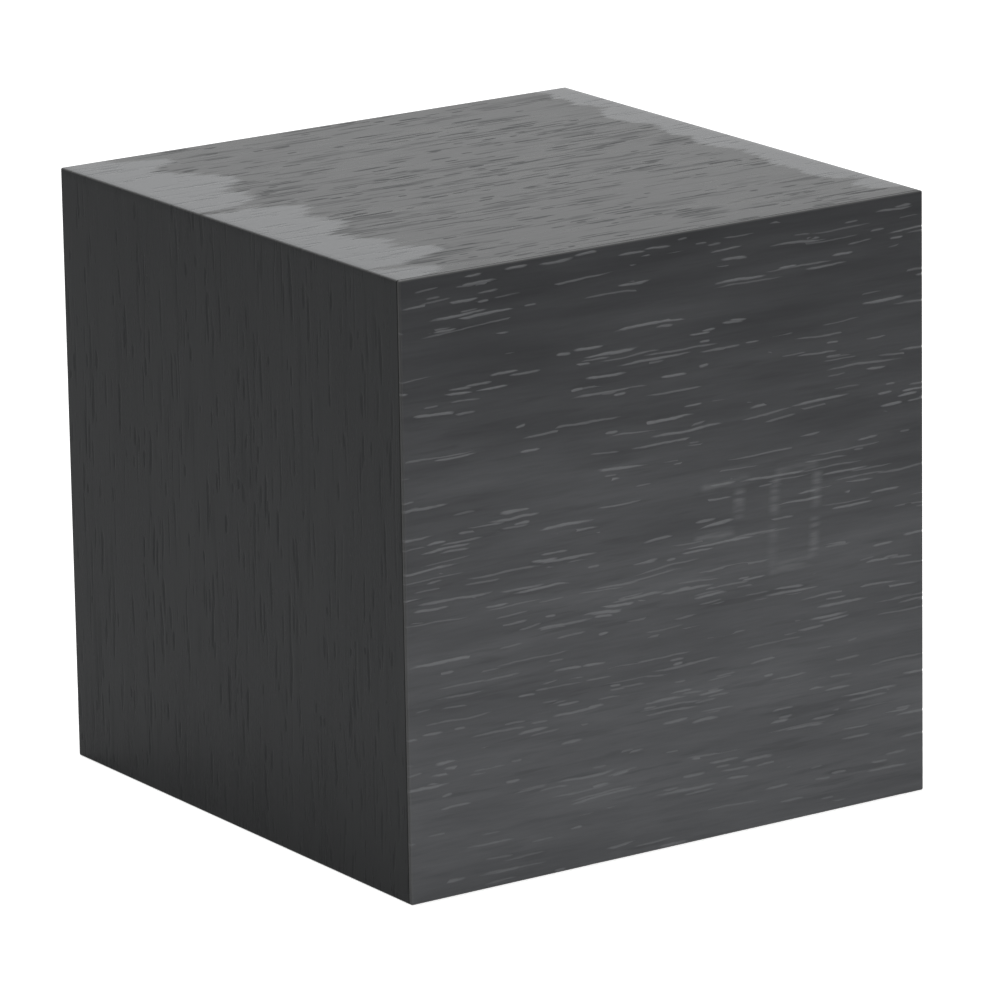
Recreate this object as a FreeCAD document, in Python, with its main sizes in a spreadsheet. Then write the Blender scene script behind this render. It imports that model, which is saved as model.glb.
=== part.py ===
import FreeCAD, Part
import math
import os
import re
import Sketcher

V = FreeCAD.Vector

# Cube alarm clock with a display hidden behind its front veneer. Millimetres, +Z up.
# The origin is the middle of the face it rests on. The display face is at -Y, the battery door at +Y.

SIZES = {
    # Case: a mitred fibreboard sleeve and a front board, all covered in veneer
    "cube_side": 80.0,
    "veneer_thick": 0.6,
    "board_thick": 5.0,
    "edge_ease": 0.4,
    "rabbet_width": 2.5,
    "block_gap": 0.4,
    "block_length": 12.0,
    # Display module behind the window in the front board
    "display_height": 19.0,
    "window_gap": 0.15,
    "window_plate_thick": 1.5,
    "housing_depth": 6.4,
    "substrate_thick": 1.6,
    "digit_pitch": 12.7,
    "display_trim": 0.25,
    "digit_height": 14.2,
    "digit_width": 6.6,
    "digit_slant": 10.0,
    "segment_width": 1.3,
    "segment_gap": 0.3,
    "pipe_gap": 0.05,
    "colon_rise": 3.2,
    "led_room": 1.0,
    "led_length": 1.0,
    "led_width": 0.5,
    "led_height": 0.4,
    "pin_pitch": 2.54,
    "pin_inset": 1.3,
    "pin_side": 0.5,
    "pin_tail": 1.0,
    # Main board on four spacers
    "pcb_thick": 1.6,
    "main_board_gap": 2.4,
    "board_margin": 1.5,
    "spacer_diameter": 5.0,
    "spacer_clear": 1.0,
    "screw_diameter": 2.4,
    "screw_fit": 0.1,
    "screw_bite": 2.5,
    "screw_head": 4.4,
    "screw_head_height": 1.4,
    "screw_head_ease": 0.45,
    "screw_head_gap": 0.4,
    "chip_length": 17.9,
    "chip_width": 7.5,
    "chip_height": 2.3,
    "chip_stand": 0.15,
    "lead_pitch": 1.27,
    "lead_width": 0.4,
    "lead_thick": 0.25,
    "lead_reach": 1.4,
    "lead_foot": 0.85,
    "crystal_length": 11.0,
    "crystal_width": 4.5,
    "crystal_height": 3.5,
    "crystal_round": 2.0,
    "crystal_inset": 12.5,
    "crystal_rise": 4.0,
    "capacitor_diameter": 6.3,
    "capacitor_height": 7.7,
    "capacitor_pitch": 7.5,
    "capacitor_inset": 7.0,
    "capacitor_drop": 4.0,
    "capacitor_ease": 0.6,
    "coin_diameter": 12.5,
    "coin_thick": 2.0,
    "coin_gap": 0.15,
    "coin_inset": 12.0,
    "holder_wall": 0.9,
    "holder_floor": 1.0,
    "clip_width": 4.0,
    "clip_thick": 0.4,
    "microphone_diameter": 6.0,
    "microphone_height": 2.7,
    "microphone_mouth": 4.0,
    "microphone_sink": 0.2,
    "microphone_inset": 20.0,
    "microphone_rise": 13.0,
    # Back cover in the rabbet, with the battery tub and the latch pocket
    "cover_recess": 1.0,
    "cover_thick": 2.0,
    "cover_gap": 0.2,
    "cover_round": 1.0,
    "cover_sink": 0.6,
    "cell_diameter": 10.5,
    "cell_length": 44.5,
    "nub_diameter": 3.8,
    "nub_length": 1.2,
    "cell_ease": 0.5,
    "cell_gap": 0.5,
    "cell_side_gap": 0.45,
    "cell_seat_gap": 0.1,
    "cell_head_gap": 1.4,
    "tub_floor": 1.2,
    "door_rise": 1.9,
    "hinge_ledge": 1.5,
    "ledge_width": 1.0,
    "ledge_overlap": 0.5,
    "ledge_floor": 1.5,
    "divider_width": 1.0,
    "divider_height": 3.0,
    "divider_length": 40.0,
    "rib_length": 20.0,
    "rib_width": 1.5,
    "rib_height": 3.0,
    "rib_gap": 0.3,
    # Battery door with two hooks at its foot and a springy latch at its top
    "door_thick": 1.6,
    "door_gap": 0.2,
    "door_seat": 0.1,
    "door_round": 0.8,
    "latch_zone": 6.1,
    "latch_width": 10.0,
    "latch_thick": 0.9,
    "latch_depth": 5.8,
    "latch_gap": 0.6,
    "latch_seat": 0.3,
    "nib_width": 8.0,
    "nib_reach": 1.4,
    "nib_height": 1.3,
    "nib_gap": 0.2,
    "pocket_wall": 1.0,
    "pocket_gap": 0.5,
    "pocket_room": 1.0,
    "keeper_depth": 1.0,
    "keeper_height": 1.7,
    "hook_shift": 16.0,
    "hook_width": 8.0,
    "hook_thick": 1.2,
    "hook_reach": 1.2,
    "hook_gap": 0.2,
    "hook_side_gap": 0.3,
    "hook_root": 1.2,
    "notch_depth": 0.6,
    "grip_count": 4.0,
    "grip_pitch": 1.8,
    "grip_width": 0.8,
    "grip_height": 0.3,
    "grip_length": 14.0,
    # Battery contacts
    "contact_thick": 0.3,
    "contact_width": 9.0,
    "contact_height": 9.0,
    "contact_tab": 3.0,
    "tab_length": 2.0,
    "spring_length": 4.9,
    "spring_wire": 0.6,
    "spring_base": 3.6,
    "spring_tip": 2.4,
    "spring_turns": 3.5,
    "spring_seat": 0.05,
    # Rear board with the keys, the slide switch and the power socket
    "rear_board_width": 50.0,
    "rear_board_gap": 1.0,
    "boss_length": 7.0,
    "boss_diameter": 4.5,
    "boss_inset": 2.5,
    "boss_bore": 1.8,
    "boss_roof": 1.0,
    "small_head": 3.6,
    "small_head_height": 1.4,
    "small_screw_room": 1.0,
    "key_pitch": 14.0,
    "key_width": 9.0,
    "key_height": 5.0,
    "key_gap": 0.25,
    "key_round": 1.0,
    "key_ease": 0.4,
    "key_proud": 0.9,
    "key_lip": 0.6,
    "key_lip_thick": 1.0,
    "key_lip_gap": 0.2,
    "key_stem": 3.0,
    "tact_side": 6.0,
    "tact_height": 3.5,
    "plunger_diameter": 3.5,
    "plunger_height": 1.5,
    "plunger_gap": 0.1,
    "plunger_sink": 1.9,
    "plunger_room": 0.6,
    "stem_gap": 0.05,
    "slide_shift": 5.0,
    "slide_length": 8.5,
    "slide_width": 3.7,
    "slide_height": 3.7,
    "slide_travel": 2.0,
    "slide_well": 1.5,
    "knob_length": 2.0,
    "knob_width": 1.6,
    "knob_gap": 0.3,
    "knob_foot_gap": 0.2,
    "knob_below": 0.4,
    "slot_border": 1.6,
    "slot_recess": 0.8,
    "socket_shift": 15.0,
    "socket_width": 7.5,
    "socket_height": 2.5,
    "socket_bevel": 0.8,
    "socket_wall": 0.25,
    "socket_gap": 0.9,
    "socket_below": 0.6,
    "socket_base": 1.2,
    "tongue_width": 3.7,
    "tongue_thick": 0.6,
    "tongue_back": 0.6,
    "buzzer_diameter": 8.0,
    "buzzer_height": 4.0,
    "buzzer_hole": 1.6,
    "buzzer_hole_depth": 0.5,
    "grille_hole": 1.3,
    "grille_radius": 2.6,
    "sensor_diameter": 4.6,
    "sensor_height": 4.6,
    "sensor_flat": 1.3,
    "sensor_leg": 0.5,
    "sensor_leg_pitch": 1.27,
    "sensor_stand": 1.5,
    "sensor_shift": 18.0,
    # Wiring inside the case
    "lead_diameter": 1.2,
    "lead_bend": 7.0,
    "lead_run": 14.0,
    "lead_rise": 10.0,
    "ribbon_width": 7.6,
    "ribbon_thick": 0.9,
    "ribbon_bend": 16.0,
    "ribbon_run": 16.0,
    "ribbon_rise": 13.0,
}

doc = FreeCAD.newDocument("CubeAlarmClock")
sheet = doc.addObject("Spreadsheet::Sheet", "sizes")
for row, (name, size) in enumerate(SIZES.items(), start=1):
    sheet.set(f"A{row}", name)
    sheet.set(f"B{row}", str(size))
    sheet.setAlias(f"B{row}", name)
doc.recompute()

WORD = re.compile(r"[a-z][a-z_]+")
NODES = {}


def from_sheet(text):
    """A formula whose named sizes point at the sheet."""
    return WORD.sub(lambda found: ("sizes." if found.group() in SIZES else "") + found.group(), text)


def size_of(name):
    """The present value of one named size."""
    return float(sheet.get(name))


def bind(thing, attribute, formula):
    thing.setExpression(attribute, from_sheet(formula))


def new_body(label):
    body = doc.addObject("PartDesign::Body", label)
    body.Label = label
    return body


def node(label):
    """A body that is one node of the clock."""
    NODES[label] = new_body(label)
    return NODES[label]


def origin_item(body, role):
    return next(item for item in body.Origin.OriginFeatures if item.Role == role)


def slab(body, kind, plane, low, high, *outlines):
    """Pad or pocket that fills the space from low to high, square to one of the body's origin planes."""
    sketch = body.newObject("Sketcher::SketchObject", body.Name + "_sketch")
    sketch.AttachmentSupport = [(origin_item(body, plane + "_Plane"), "")]
    sketch.MapMode = "FlatFace"
    from_low = (kind == "Pad") == (plane != "XZ")
    level = low if from_low else high
    bind(sketch, "AttachmentOffset.Base.z", f"-({level})" if plane == "XZ" else level)
    for draw in outlines:
        draw(sketch)
    feature = body.newObject("PartDesign::" + kind, body.Name + "_" + kind.lower())
    feature.Profile = sketch
    bind(feature, "Length", f"({high}) - ({low})")
    return feature


def pad(body, plane, low, high, *outlines):
    return slab(body, "Pad", plane, low, high, *outlines)


def pocket(body, plane, low, high, *outlines):
    return slab(body, "Pocket", plane, low, high, *outlines)


def measure(sketch, kind, *where, formula):
    index = sketch.addConstraint(Sketcher.Constraint(kind, *where, 1.0))
    bind(sketch, f"Constraints[{index}]", formula)


def pin_point(sketch, geometry, point, across, up):
    """Ties a point of the sketch to its two formulas, measured from the sketch's origin."""
    measure(sketch, "DistanceX", -1, 1, geometry, point, formula=across)
    measure(sketch, "DistanceY", -1, 1, geometry, point, formula=up)


def outline(*points):
    """Closed straight-sided outline through points given as pairs of formulas."""
    def draw(sketch):
        first = sketch.GeometryCount
        count = len(points)
        step = 2 * math.pi / count
        ring = [V(math.cos(i * step), math.sin(i * step), 0) for i in range(count)]
        for i in range(count):
            sketch.addGeometry(Part.LineSegment(ring[i], ring[(i + 1) % count]), False)
        for i, (across, up) in enumerate(points):
            line = first + i
            sketch.addConstraint(Sketcher.Constraint("Coincident", first + (i - 1) % count, 2, line, 1))
            pin_point(sketch, line, 1, across, up)
    return draw


def rectangle(left, right, low, high):
    return outline((left, low), (right, low), (right, high), (left, high))


def centred(across, up, width, height):
    """Rectangle round a middle point."""
    return rectangle(f"{across} - ({width}) / 2", f"{across} + ({width}) / 2",
                     f"{up} - ({height}) / 2", f"{up} + ({height}) / 2")


def rounded(left, right, low, high, radius):
    """Rectangle with rounded corners."""
    def draw(sketch):
        first = sketch.GeometryCount
        corners = [(right, high, "+", "+"), (left, high, "-", "+"),
                   (left, low, "-", "-"), (right, low, "+", "-")]
        for i, (_, _, across, up) in enumerate(corners):
            centre = V(float(across + "3"), float(up + "3"), 0)
            ring = Part.Circle(centre, V(0, 0, 1), 1)
            sketch.addGeometry(Part.ArcOfCircle(ring, i * math.pi / 2, (i + 1) * math.pi / 2), False)
        for i in range(4):
            start = sketch.Geometry[first + i].EndPoint
            end = sketch.Geometry[first + (i + 1) % 4].StartPoint
            sketch.addGeometry(Part.LineSegment(start, end), False)
        for i, (x, z, across, up) in enumerate(corners):
            arc = first + i
            level_end, upright_end = (1, 2) if i % 2 == 0 else (2, 1)
            sketch.addConstraint(Sketcher.Constraint("Coincident", arc, 2, first + 4 + i, 1))
            sketch.addConstraint(Sketcher.Constraint("Coincident", first + 4 + (i - 1) % 4, 2, arc, 1))
            sketch.addConstraint(Sketcher.Constraint("Horizontal", arc, 3, arc, level_end))
            sketch.addConstraint(Sketcher.Constraint("Vertical", arc, 3, arc, upright_end))
            inward_x = f"({x}) - ({across}1) * ({radius})"
            inward_z = f"({z}) - ({up}1) * ({radius})"
            pin_point(sketch, arc, 3, inward_x, inward_z)
            measure(sketch, "Radius", arc, formula=radius)
    return draw


def disc(across, up, diameter):
    def draw(sketch):
        circle = sketch.addGeometry(Part.Circle(V(1, 1, 0), V(0, 0, 1), 1), False)
        pin_point(sketch, circle, 3, across, up)
        measure(sketch, "Radius", circle, formula=f"({diameter}) / 2")
    return draw


def repeat(body, feature, axis, overall, count):
    """Copies of one feature along an origin axis, spread over a length."""
    pattern = body.newObject("PartDesign::LinearPattern", body.Name + "_row")
    pattern.Originals = [feature]
    pattern.Direction = (origin_item(body, axis + "_Axis"), [""])
    bind(pattern, "Length", overall)
    pattern.Occurrences = count
    body.Tip = pattern


def ease(body, feature, radius, chosen):
    """Rounds the edges of a feature that a test on each edge's box, within the feature's box, picks."""
    doc.recompute()
    whole = feature.Shape.BoundBox
    numbered = enumerate(feature.Shape.Edges, start=1)
    edges = [f"Edge{i}" for i, edge in numbered if chosen(edge.BoundBox, whole)]
    fillet = body.newObject("PartDesign::Fillet", body.Name + "_ease")
    fillet.Base = (feature, edges)
    bind(fillet, "Radius", radius)
    body.Tip = fillet


def at_back(box, whole):
    """Edges that lie in the rearmost plane."""
    return box.YMin > whole.YMax - 0.001


def at_ends(box, whole):
    """Edges that lie square to X."""
    return box.XMax - box.XMin < 0.001 * whole.XLength


def swept(label, profiles):
    """Solids swept along routes of straight runs and tangent arcs, in one node."""
    tubes = []
    for section, wire in profiles:
        tubes.append(wire.makePipeShell([section], True, False))
    feature = doc.addObject("Part::Feature", label)
    feature.Label = label
    feature.Shape = tubes[0] if len(tubes) == 1 else Part.makeCompound(tubes)
    NODES[label] = feature
    return feature


def corner_arc(start, corner, end):
    """Arc tangent to both legs of a corner, whose legs are equally long."""
    inward = (start - corner).normalize()
    outward = (end - corner).normalize()
    half_angle = inward.getAngle(outward) / 2
    depth = start.distanceToPoint(corner) * (1 / math.cos(half_angle) - math.tan(half_angle))
    middle = corner + (inward + outward).normalize() * depth
    return Part.Arc(start, middle, end).toShape()


def bent_route(points, bend):
    """Wire through the points whose corners are arcs of one radius."""
    edges = []
    start = points[0]
    for before, corner, after in zip(points, points[1:], points[2:]):
        inward = (before - corner).normalize()
        outward = (after - corner).normalize()
        cut = bend / math.tan(inward.getAngle(outward) / 2)
        edges.append(Part.LineSegment(start, corner + inward * cut).toShape())
        edges.append(corner_arc(corner + inward * cut, corner, corner + outward * cut))
        start = corner + outward * cut
    edges.append(Part.LineSegment(start, points[-1]).toShape())
    return Part.Wire(edges)


def arc_pair(start, leaving, end, arriving):
    """Two arcs that meet smoothly and carry one heading at the start over into another at the end."""
    chord = end - start
    spread = 2 * (1 - leaving.dot(arriving))
    along = chord.dot(leaving + arriving)
    leg = (math.sqrt(along ** 2 + spread * chord.dot(chord)) - along) / spread
    first_corner = start + leaving * leg
    last_corner = end - arriving * leg
    meeting = (first_corner + last_corner) / 2
    return [corner_arc(start, first_corner, meeting), corner_arc(meeting, last_corner, end)]


# Planes that many pieces share
HALF = "cube_side / 2"
MIDDLE = "cube_side / 2"
CAVITY = "(cube_side / 2 - veneer_thick - board_thick)"
LOW = "(veneer_thick + board_thick)"
TOP = "(cube_side - veneer_thick - board_thick)"
SKIN_BACK = "(veneer_thick - cube_side / 2)"
FRONT_BOARD_BACK = "(veneer_thick + board_thick - cube_side / 2)"
COVER_OUT = "(cube_side / 2 - cover_recess)"
COVER_IN = "(cube_side / 2 - cover_recess - cover_thick)"
SCREW_HOLE = "screw_diameter + screw_fit"
SIGNS = ("-1", "1")

# Case envelope: the cube with its outer edges eased, used to trim the veneer
envelope = new_body("case_envelope")
block = pad(envelope, "XY", "0", "cube_side", rectangle(f"-{HALF}", HALF, f"-{HALF}", HALF))
rounding = envelope.newObject("PartDesign::Fillet", "case_envelope_ease")
rounding.Base = (block, [])
rounding.UseAllEdges = True
bind(rounding, "Radius", "edge_ease")

# The four sides of the sleeve, each as a place for a distance along the side and a depth under its outer face
SIDES = {
    "top": lambda along, depth: (along, f"cube_side - ({depth})"),
    "bottom": lambda along, depth: (along, depth),
    "left": lambda along, depth: (f"({depth}) - cube_side / 2", f"cube_side / 2 + ({along})"),
    "right": lambda along, depth: (f"cube_side / 2 - ({depth})", f"cube_side / 2 + ({along})"),
}


def mitred_layer(side, outer, inner):
    """Section of one side of the sleeve between two depths, with its ends mitred at 45 degrees."""
    place = SIDES[side]
    near = f"(cube_side / 2 - ({outer}))"
    far = f"(cube_side / 2 - ({inner}))"
    return outline(place(f"-{near}", outer), place(near, outer), place(far, inner), place(f"-{far}", inner))


# Veneer: thin sheets glued over the sleeve and, last, over the whole front
def veneer(label, front, back, section):
    sheet_body = new_body(label + "_sheet")
    pad(sheet_body, "XZ", front, back, section)
    trimmed = doc.addObject("Part::Common", label)
    trimmed.Label = label
    trimmed.Base = sheet_body
    trimmed.Tool = envelope
    NODES[label] = trimmed


veneer("veneer_front", f"-{HALF}", SKIN_BACK, rectangle(f"-{HALF}", HALF, "0", "cube_side"))
for side in SIDES:
    veneer("veneer_" + side, SKIN_BACK, HALF, mitred_layer(side, "0", "veneer_thick"))

# Sleeve panels: mitred fibreboard, with a rabbet at the back for the cover
RABBET = f"({CAVITY} + rabbet_width)"
for side in SIDES:
    panel = node("panel_" + side)
    pad(panel, "XZ", SKIN_BACK, HALF, mitred_layer(side, "veneer_thick", "veneer_thick + board_thick"))
    rabbet = rectangle(f"-{RABBET}", RABBET, f"{MIDDLE} - {RABBET}", f"{MIDDLE} + {RABBET}")
    pocket(panel, "XZ", COVER_IN, HALF, rabbet)

# Front board: fits inside the sleeve and holds the display in its window
DISPLAY_X = "(2 * digit_pitch - display_trim)"
WINDOW_X = f"({DISPLAY_X} + window_gap)"
WINDOW_Z = "(display_height / 2 + window_gap)"
SPACER_X = f"({CAVITY} - main_board_gap - board_margin - spacer_diameter / 2)"
SPACER_Z = "(display_height / 2 + spacer_clear + spacer_diameter / 2)"


def at_spacers(diameter):
    """Four discs at the places of the main board's spacers."""
    return [disc(f"{x} * {SPACER_X}", f"{MIDDLE} + {z} * {SPACER_Z}", diameter) for x in SIGNS for z in SIGNS]


front_board = node("front_board")
pad(front_board, "XZ", SKIN_BACK, FRONT_BOARD_BACK, rectangle(f"-{CAVITY}", CAVITY, LOW, TOP))
window = rectangle(f"-{WINDOW_X}", WINDOW_X, f"{MIDDLE} - {WINDOW_Z}", f"{MIDDLE} + {WINDOW_Z}")
pocket(front_board, "XZ", SKIN_BACK, FRONT_BOARD_BACK, window)
pocket(front_board, "XZ", f"{FRONT_BOARD_BACK} - screw_bite", FRONT_BOARD_BACK, *at_spacers(SCREW_HOLE))

# Corner blocks: glued into the sleeve's back corners to take the cover screws, and cut to fit beside the
# battery tub or the rear board, whichever is wider
CELL_HALF = "((cell_length + spring_length + 2 * contact_thick) / 2)"
TUB_WALL = "(ledge_width + ledge_overlap)"
TUB_X = f"({CELL_HALF} + {TUB_WALL})"
BLOCK_SIDE = f"({CAVITY} - max({TUB_X}; rear_board_width / 2) - block_gap)"
BLOCK_X = f"({CAVITY} - {BLOCK_SIDE} / 2)"
BLOCK_HEIGHTS = {"low": f"({LOW} + {BLOCK_SIDE} / 2)", "high": f"({TOP} - {BLOCK_SIDE} / 2)"}
COVER_SCREW_LENGTH = "(block_length / 2 + cover_thick - cover_sink)"
for side, sign in (("left", "-1"), ("right", "1")):
    for height, z in BLOCK_HEIGHTS.items():
        corner = node(f"corner_block_{height}_{side}")
        x = f"{sign} * {BLOCK_X}"
        square = centred(x, z, BLOCK_SIDE, BLOCK_SIDE)
        pad(corner, "XZ", f"{COVER_IN} - block_length", COVER_IN, square)
        pocket(corner, "XZ", f"{COVER_IN} - block_length / 2", COVER_IN, disc(x, z, SCREW_HOLE))

# Display module: diffuser, housing with the segment wells, light pipes, lamps and their board
PLATE_BACK = f"({SKIN_BACK} + window_plate_thick)"
HOUSING_BACK = f"({PLATE_BACK} + housing_depth)"
SUBSTRATE_BACK = f"({HOUSING_BACK} + substrate_thick)"
FIRST_DIGIT = "(-1.5 * digit_pitch)"
BAR_RISE = "((digit_height - segment_width) / 2)"


def display_block():
    return centred("0", MIDDLE, f"2 * {DISPLAY_X}", "display_height")


def leaning(across, up):
    """A point of the first digit, leaned over by the slant."""
    return (f"{FIRST_DIGIT} + ({across}) + ({up}) * tan(digit_slant)", f"{MIDDLE} + ({up})")


def bar(rise, shrink):
    """Level segment: a long hexagon with pointed ends, smaller all round by shrink."""
    tip = f"(digit_width / 2 - segment_gap - ({shrink}) * sqrt(2))"
    half = f"(segment_width / 2 - ({shrink}))"
    shoulder = f"({tip} - {half})"
    corners = [(f"-{tip}", "0"), (f"-{shoulder}", half), (shoulder, half), (tip, "0"),
               (shoulder, f"-{half}"), (f"-{shoulder}", f"-{half}")]
    return outline(*[leaning(across, f"({rise}) + ({up})") for across, up in corners])


def post(sign_x, sign_z, shrink):
    """Upright segment on one side of the digit, above or below its middle."""
    low = f"(segment_gap + ({shrink}) * sqrt(2))"
    high = f"({BAR_RISE} - {low})"
    half = f"(segment_width / 2 - ({shrink}))"
    corners = [("0", low), (half, f"{low} + {half}"), (half, f"{high} - {half}"), ("0", high),
               (f"-{half}", f"{high} - {half}"), (f"-{half}", f"{low} + {half}")]
    middle = f"{sign_x} * digit_width / 2"
    return outline(*[leaning(f"{middle} + {across}", f"{sign_z} * ({up})") for across, up in corners])


def digit(shrink):
    """The seven segments of the first digit."""
    bars = [bar(rise, shrink) for rise in (f"-{BAR_RISE}", "0", BAR_RISE)]
    return bars + [post(x, z, shrink) for x in SIGNS for z in SIGNS]


def colon(shrink):
    """The two dots between the hours and the minutes."""
    width = f"segment_width - 2 * ({shrink})"
    rises = [f"{z} * colon_rise" for z in SIGNS]
    return [disc(f"{rise} * tan(digit_slant)", f"{MIDDLE} + {rise}", width) for rise in rises]


ALL_DIGITS = "3 * digit_pitch"
window_plate = node("window_plate")
pad(window_plate, "XZ", SKIN_BACK, PLATE_BACK, display_block())

housing = node("display_housing")
pad(housing, "XZ", PLATE_BACK, HOUSING_BACK, display_block())
pocket(housing, "XZ", PLATE_BACK, HOUSING_BACK, *colon("0"))
wells = pocket(housing, "XZ", PLATE_BACK, HOUSING_BACK, *digit("0"))
repeat(housing, wells, "X", ALL_DIGITS, 4)

segments = node("display_segments")
pad(segments, "XZ", PLATE_BACK, f"{HOUSING_BACK} - led_room", *colon("pipe_gap"))
pipes = pad(segments, "XZ", PLATE_BACK, f"{HOUSING_BACK} - led_room", *digit("pipe_gap"))
repeat(segments, pipes, "X", ALL_DIGITS, 4)


def lamp(across, up):
    x, z = leaning(across, up)
    return centred(x, z, "led_length", "led_width")


leds = node("display_leds")
LED_FRONT = f"{HOUSING_BACK} - led_height"
colon_lamps = [lamp("1.5 * digit_pitch", f"{z} * colon_rise") for z in SIGNS]
pad(leds, "XZ", LED_FRONT, HOUSING_BACK, *colon_lamps)
digit_lamps = [lamp("0", rise) for rise in (f"-{BAR_RISE}", "0", BAR_RISE)]
digit_lamps += [lamp(f"{x} * digit_width / 2", f"{z} * {BAR_RISE} / 2") for x in SIGNS for z in SIGNS]
repeat(leds, pad(leds, "XZ", LED_FRONT, HOUSING_BACK, *digit_lamps), "X", ALL_DIGITS, 4)

substrate = node("display_substrate")
pad(substrate, "XZ", HOUSING_BACK, SUBSTRATE_BACK, display_block())

PIN_COUNT = 12
PINS_OVERALL = f"{PIN_COUNT - 1} * pin_pitch"
MAIN_BACK = f"({SUBSTRATE_BACK} + pcb_thick)"


def first_pins(side):
    """The first pin of each of the two rows, as squares of one width."""
    x = f"(-{PINS_OVERALL} / 2)"
    half = f"({side}) / 2"
    rows = [f"({MIDDLE} + {z} * (display_height / 2 - pin_inset))" for z in SIGNS]
    return [rectangle(f"{x} - {half}", f"{x} + {half}", f"{z} - {half}", f"{z} + {half}") for z in rows]


pins = node("display_pins")
first = pad(pins, "XZ", SUBSTRATE_BACK, f"{MAIN_BACK} + pin_tail", *first_pins("pin_side"))
repeat(pins, first, "X", PINS_OVERALL, PIN_COUNT)

# Main board on four spacers, screwed into the back of the front board
MAIN_X = f"({CAVITY} - main_board_gap)"
MAIN_Z = f"({SPACER_Z} + spacer_diameter / 2 + board_margin)"
main_board = node("main_board")
board_outline = rectangle(f"-{MAIN_X}", MAIN_X, f"{MIDDLE} - {MAIN_Z}", f"{MIDDLE} + {MAIN_Z}")
pad(main_board, "XZ", SUBSTRATE_BACK, MAIN_BACK, board_outline)
pocket(main_board, "XZ", SUBSTRATE_BACK, MAIN_BACK, *at_spacers(SCREW_HOLE))
pin_holes = pocket(main_board, "XZ", SUBSTRATE_BACK, MAIN_BACK, *first_pins("pin_side + screw_fit"))
repeat(main_board, pin_holes, "X", PINS_OVERALL, PIN_COUNT)

spacers = node("board_spacers")
pad(spacers, "XZ", FRONT_BOARD_BACK, SUBSTRATE_BACK, *at_spacers("spacer_diameter"))
pocket(spacers, "XZ", FRONT_BOARD_BACK, SUBSTRATE_BACK, *at_spacers(SCREW_HOLE))

board_screws = node("board_screws")
pad(board_screws, "XZ", f"{FRONT_BOARD_BACK} - screw_bite", MAIN_BACK, *at_spacers("screw_diameter"))
pad(board_screws, "XZ", MAIN_BACK, f"{MAIN_BACK} + screw_head_height", *at_spacers("screw_head"))

# Clock chip with bent leads along both long sides, midway between the crystal and the coin cell
CHIP_LEADS = 14
LEADS_OVERALL = f"{CHIP_LEADS - 1} * lead_pitch"
CHIP_TOP = f"{MAIN_BACK} + chip_stand + chip_height"
CHIP_HALF = "(chip_width / 2)"
CRYSTAL_X = f"({MAIN_X} - crystal_inset)"
COIN_X = f"(coin_inset - {MAIN_X})"
HOLDER_DIAMETER = "(coin_diameter + 2 * coin_gap + 2 * holder_wall)"
CHIP_X = f"((({CRYSTAL_X} - crystal_length / 2) + ({COIN_X} + {HOLDER_DIAMETER} / 2)) / 2)"
chip = node("controller_chip")
chip_outline = centred(CHIP_X, MIDDLE, "chip_length", "chip_width")
pad(chip, "XZ", f"{MAIN_BACK} + chip_stand", CHIP_TOP, chip_outline)


def bent_lead(sign):
    """Gull-wing lead in side view: out of the chip, down to the board and along it."""
    shoulder = f"({MAIN_BACK} + chip_stand + chip_height / 2)"
    bend = f"({CHIP_HALF} + lead_reach - lead_foot)"
    toe = f"({CHIP_HALF} + lead_reach)"
    root = f"({CHIP_HALF} - lead_thick)"
    profile = [(f"{shoulder} + lead_thick", root), (f"{shoulder} + lead_thick", bend),
               (f"{MAIN_BACK} + lead_thick", bend), (f"{MAIN_BACK} + lead_thick", toe), (MAIN_BACK, toe),
               (MAIN_BACK, f"{bend} - lead_thick"), (shoulder, f"{bend} - lead_thick"), (shoulder, root)]
    return outline(*[(y, f"{MIDDLE} + {sign} * ({z})") for y, z in profile])


lead_left = f"({CHIP_X} - {LEADS_OVERALL} / 2 - lead_width / 2)"
leads = pad(chip, "YZ", lead_left, f"{lead_left} + lead_width", bent_lead("1"), bent_lead("-1"))
repeat(chip, leads, "X", LEADS_OVERALL, CHIP_LEADS)

# Crystal, two capacitors and the microphone on the main board
crystal = node("crystal")
crystal_z = f"({MIDDLE} + crystal_rise)"
can = rounded(f"{CRYSTAL_X} - crystal_length / 2", f"{CRYSTAL_X} + crystal_length / 2",
              f"{crystal_z} - crystal_width / 2", f"{crystal_z} + crystal_width / 2", "crystal_round")
pad(crystal, "XZ", MAIN_BACK, f"{MAIN_BACK} + crystal_height", can)

capacitors = node("capacitors")
cans = [disc(x, f"{MIDDLE} - capacitor_drop", "capacitor_diameter")
        for x in (f"{MAIN_X} - capacitor_inset", f"{MAIN_X} - capacitor_inset - capacitor_pitch")]
can_pad = pad(capacitors, "XZ", MAIN_BACK, f"{MAIN_BACK} + capacitor_height", *cans)
ease(capacitors, can_pad, "capacitor_ease", at_back)

microphone = node("sound_sensor")
MICROPHONE = (f"microphone_inset - {MAIN_X}", f"{MIDDLE} + microphone_rise")
MICROPHONE_TOP = f"({MAIN_BACK} + microphone_height)"
pad(microphone, "XZ", MAIN_BACK, MICROPHONE_TOP, disc(*MICROPHONE, "microphone_diameter"))
pocket(microphone, "XZ", f"{MICROPHONE_TOP} - microphone_sink", MICROPHONE_TOP,
       disc(*MICROPHONE, "microphone_mouth"))

# Coin cell that keeps the time, in a round holder under a sprung strip
COIN = (COIN_X, MIDDLE)
COIN_FLOOR = f"({MAIN_BACK} + holder_floor)"
COIN_TOP = f"({COIN_FLOOR} + coin_thick)"
HOLDER_TOP = f"({COIN_TOP} + clip_thick)"


def strip(width):
    return centred(COIN_X, MIDDLE, HOLDER_DIAMETER, width)


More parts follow.
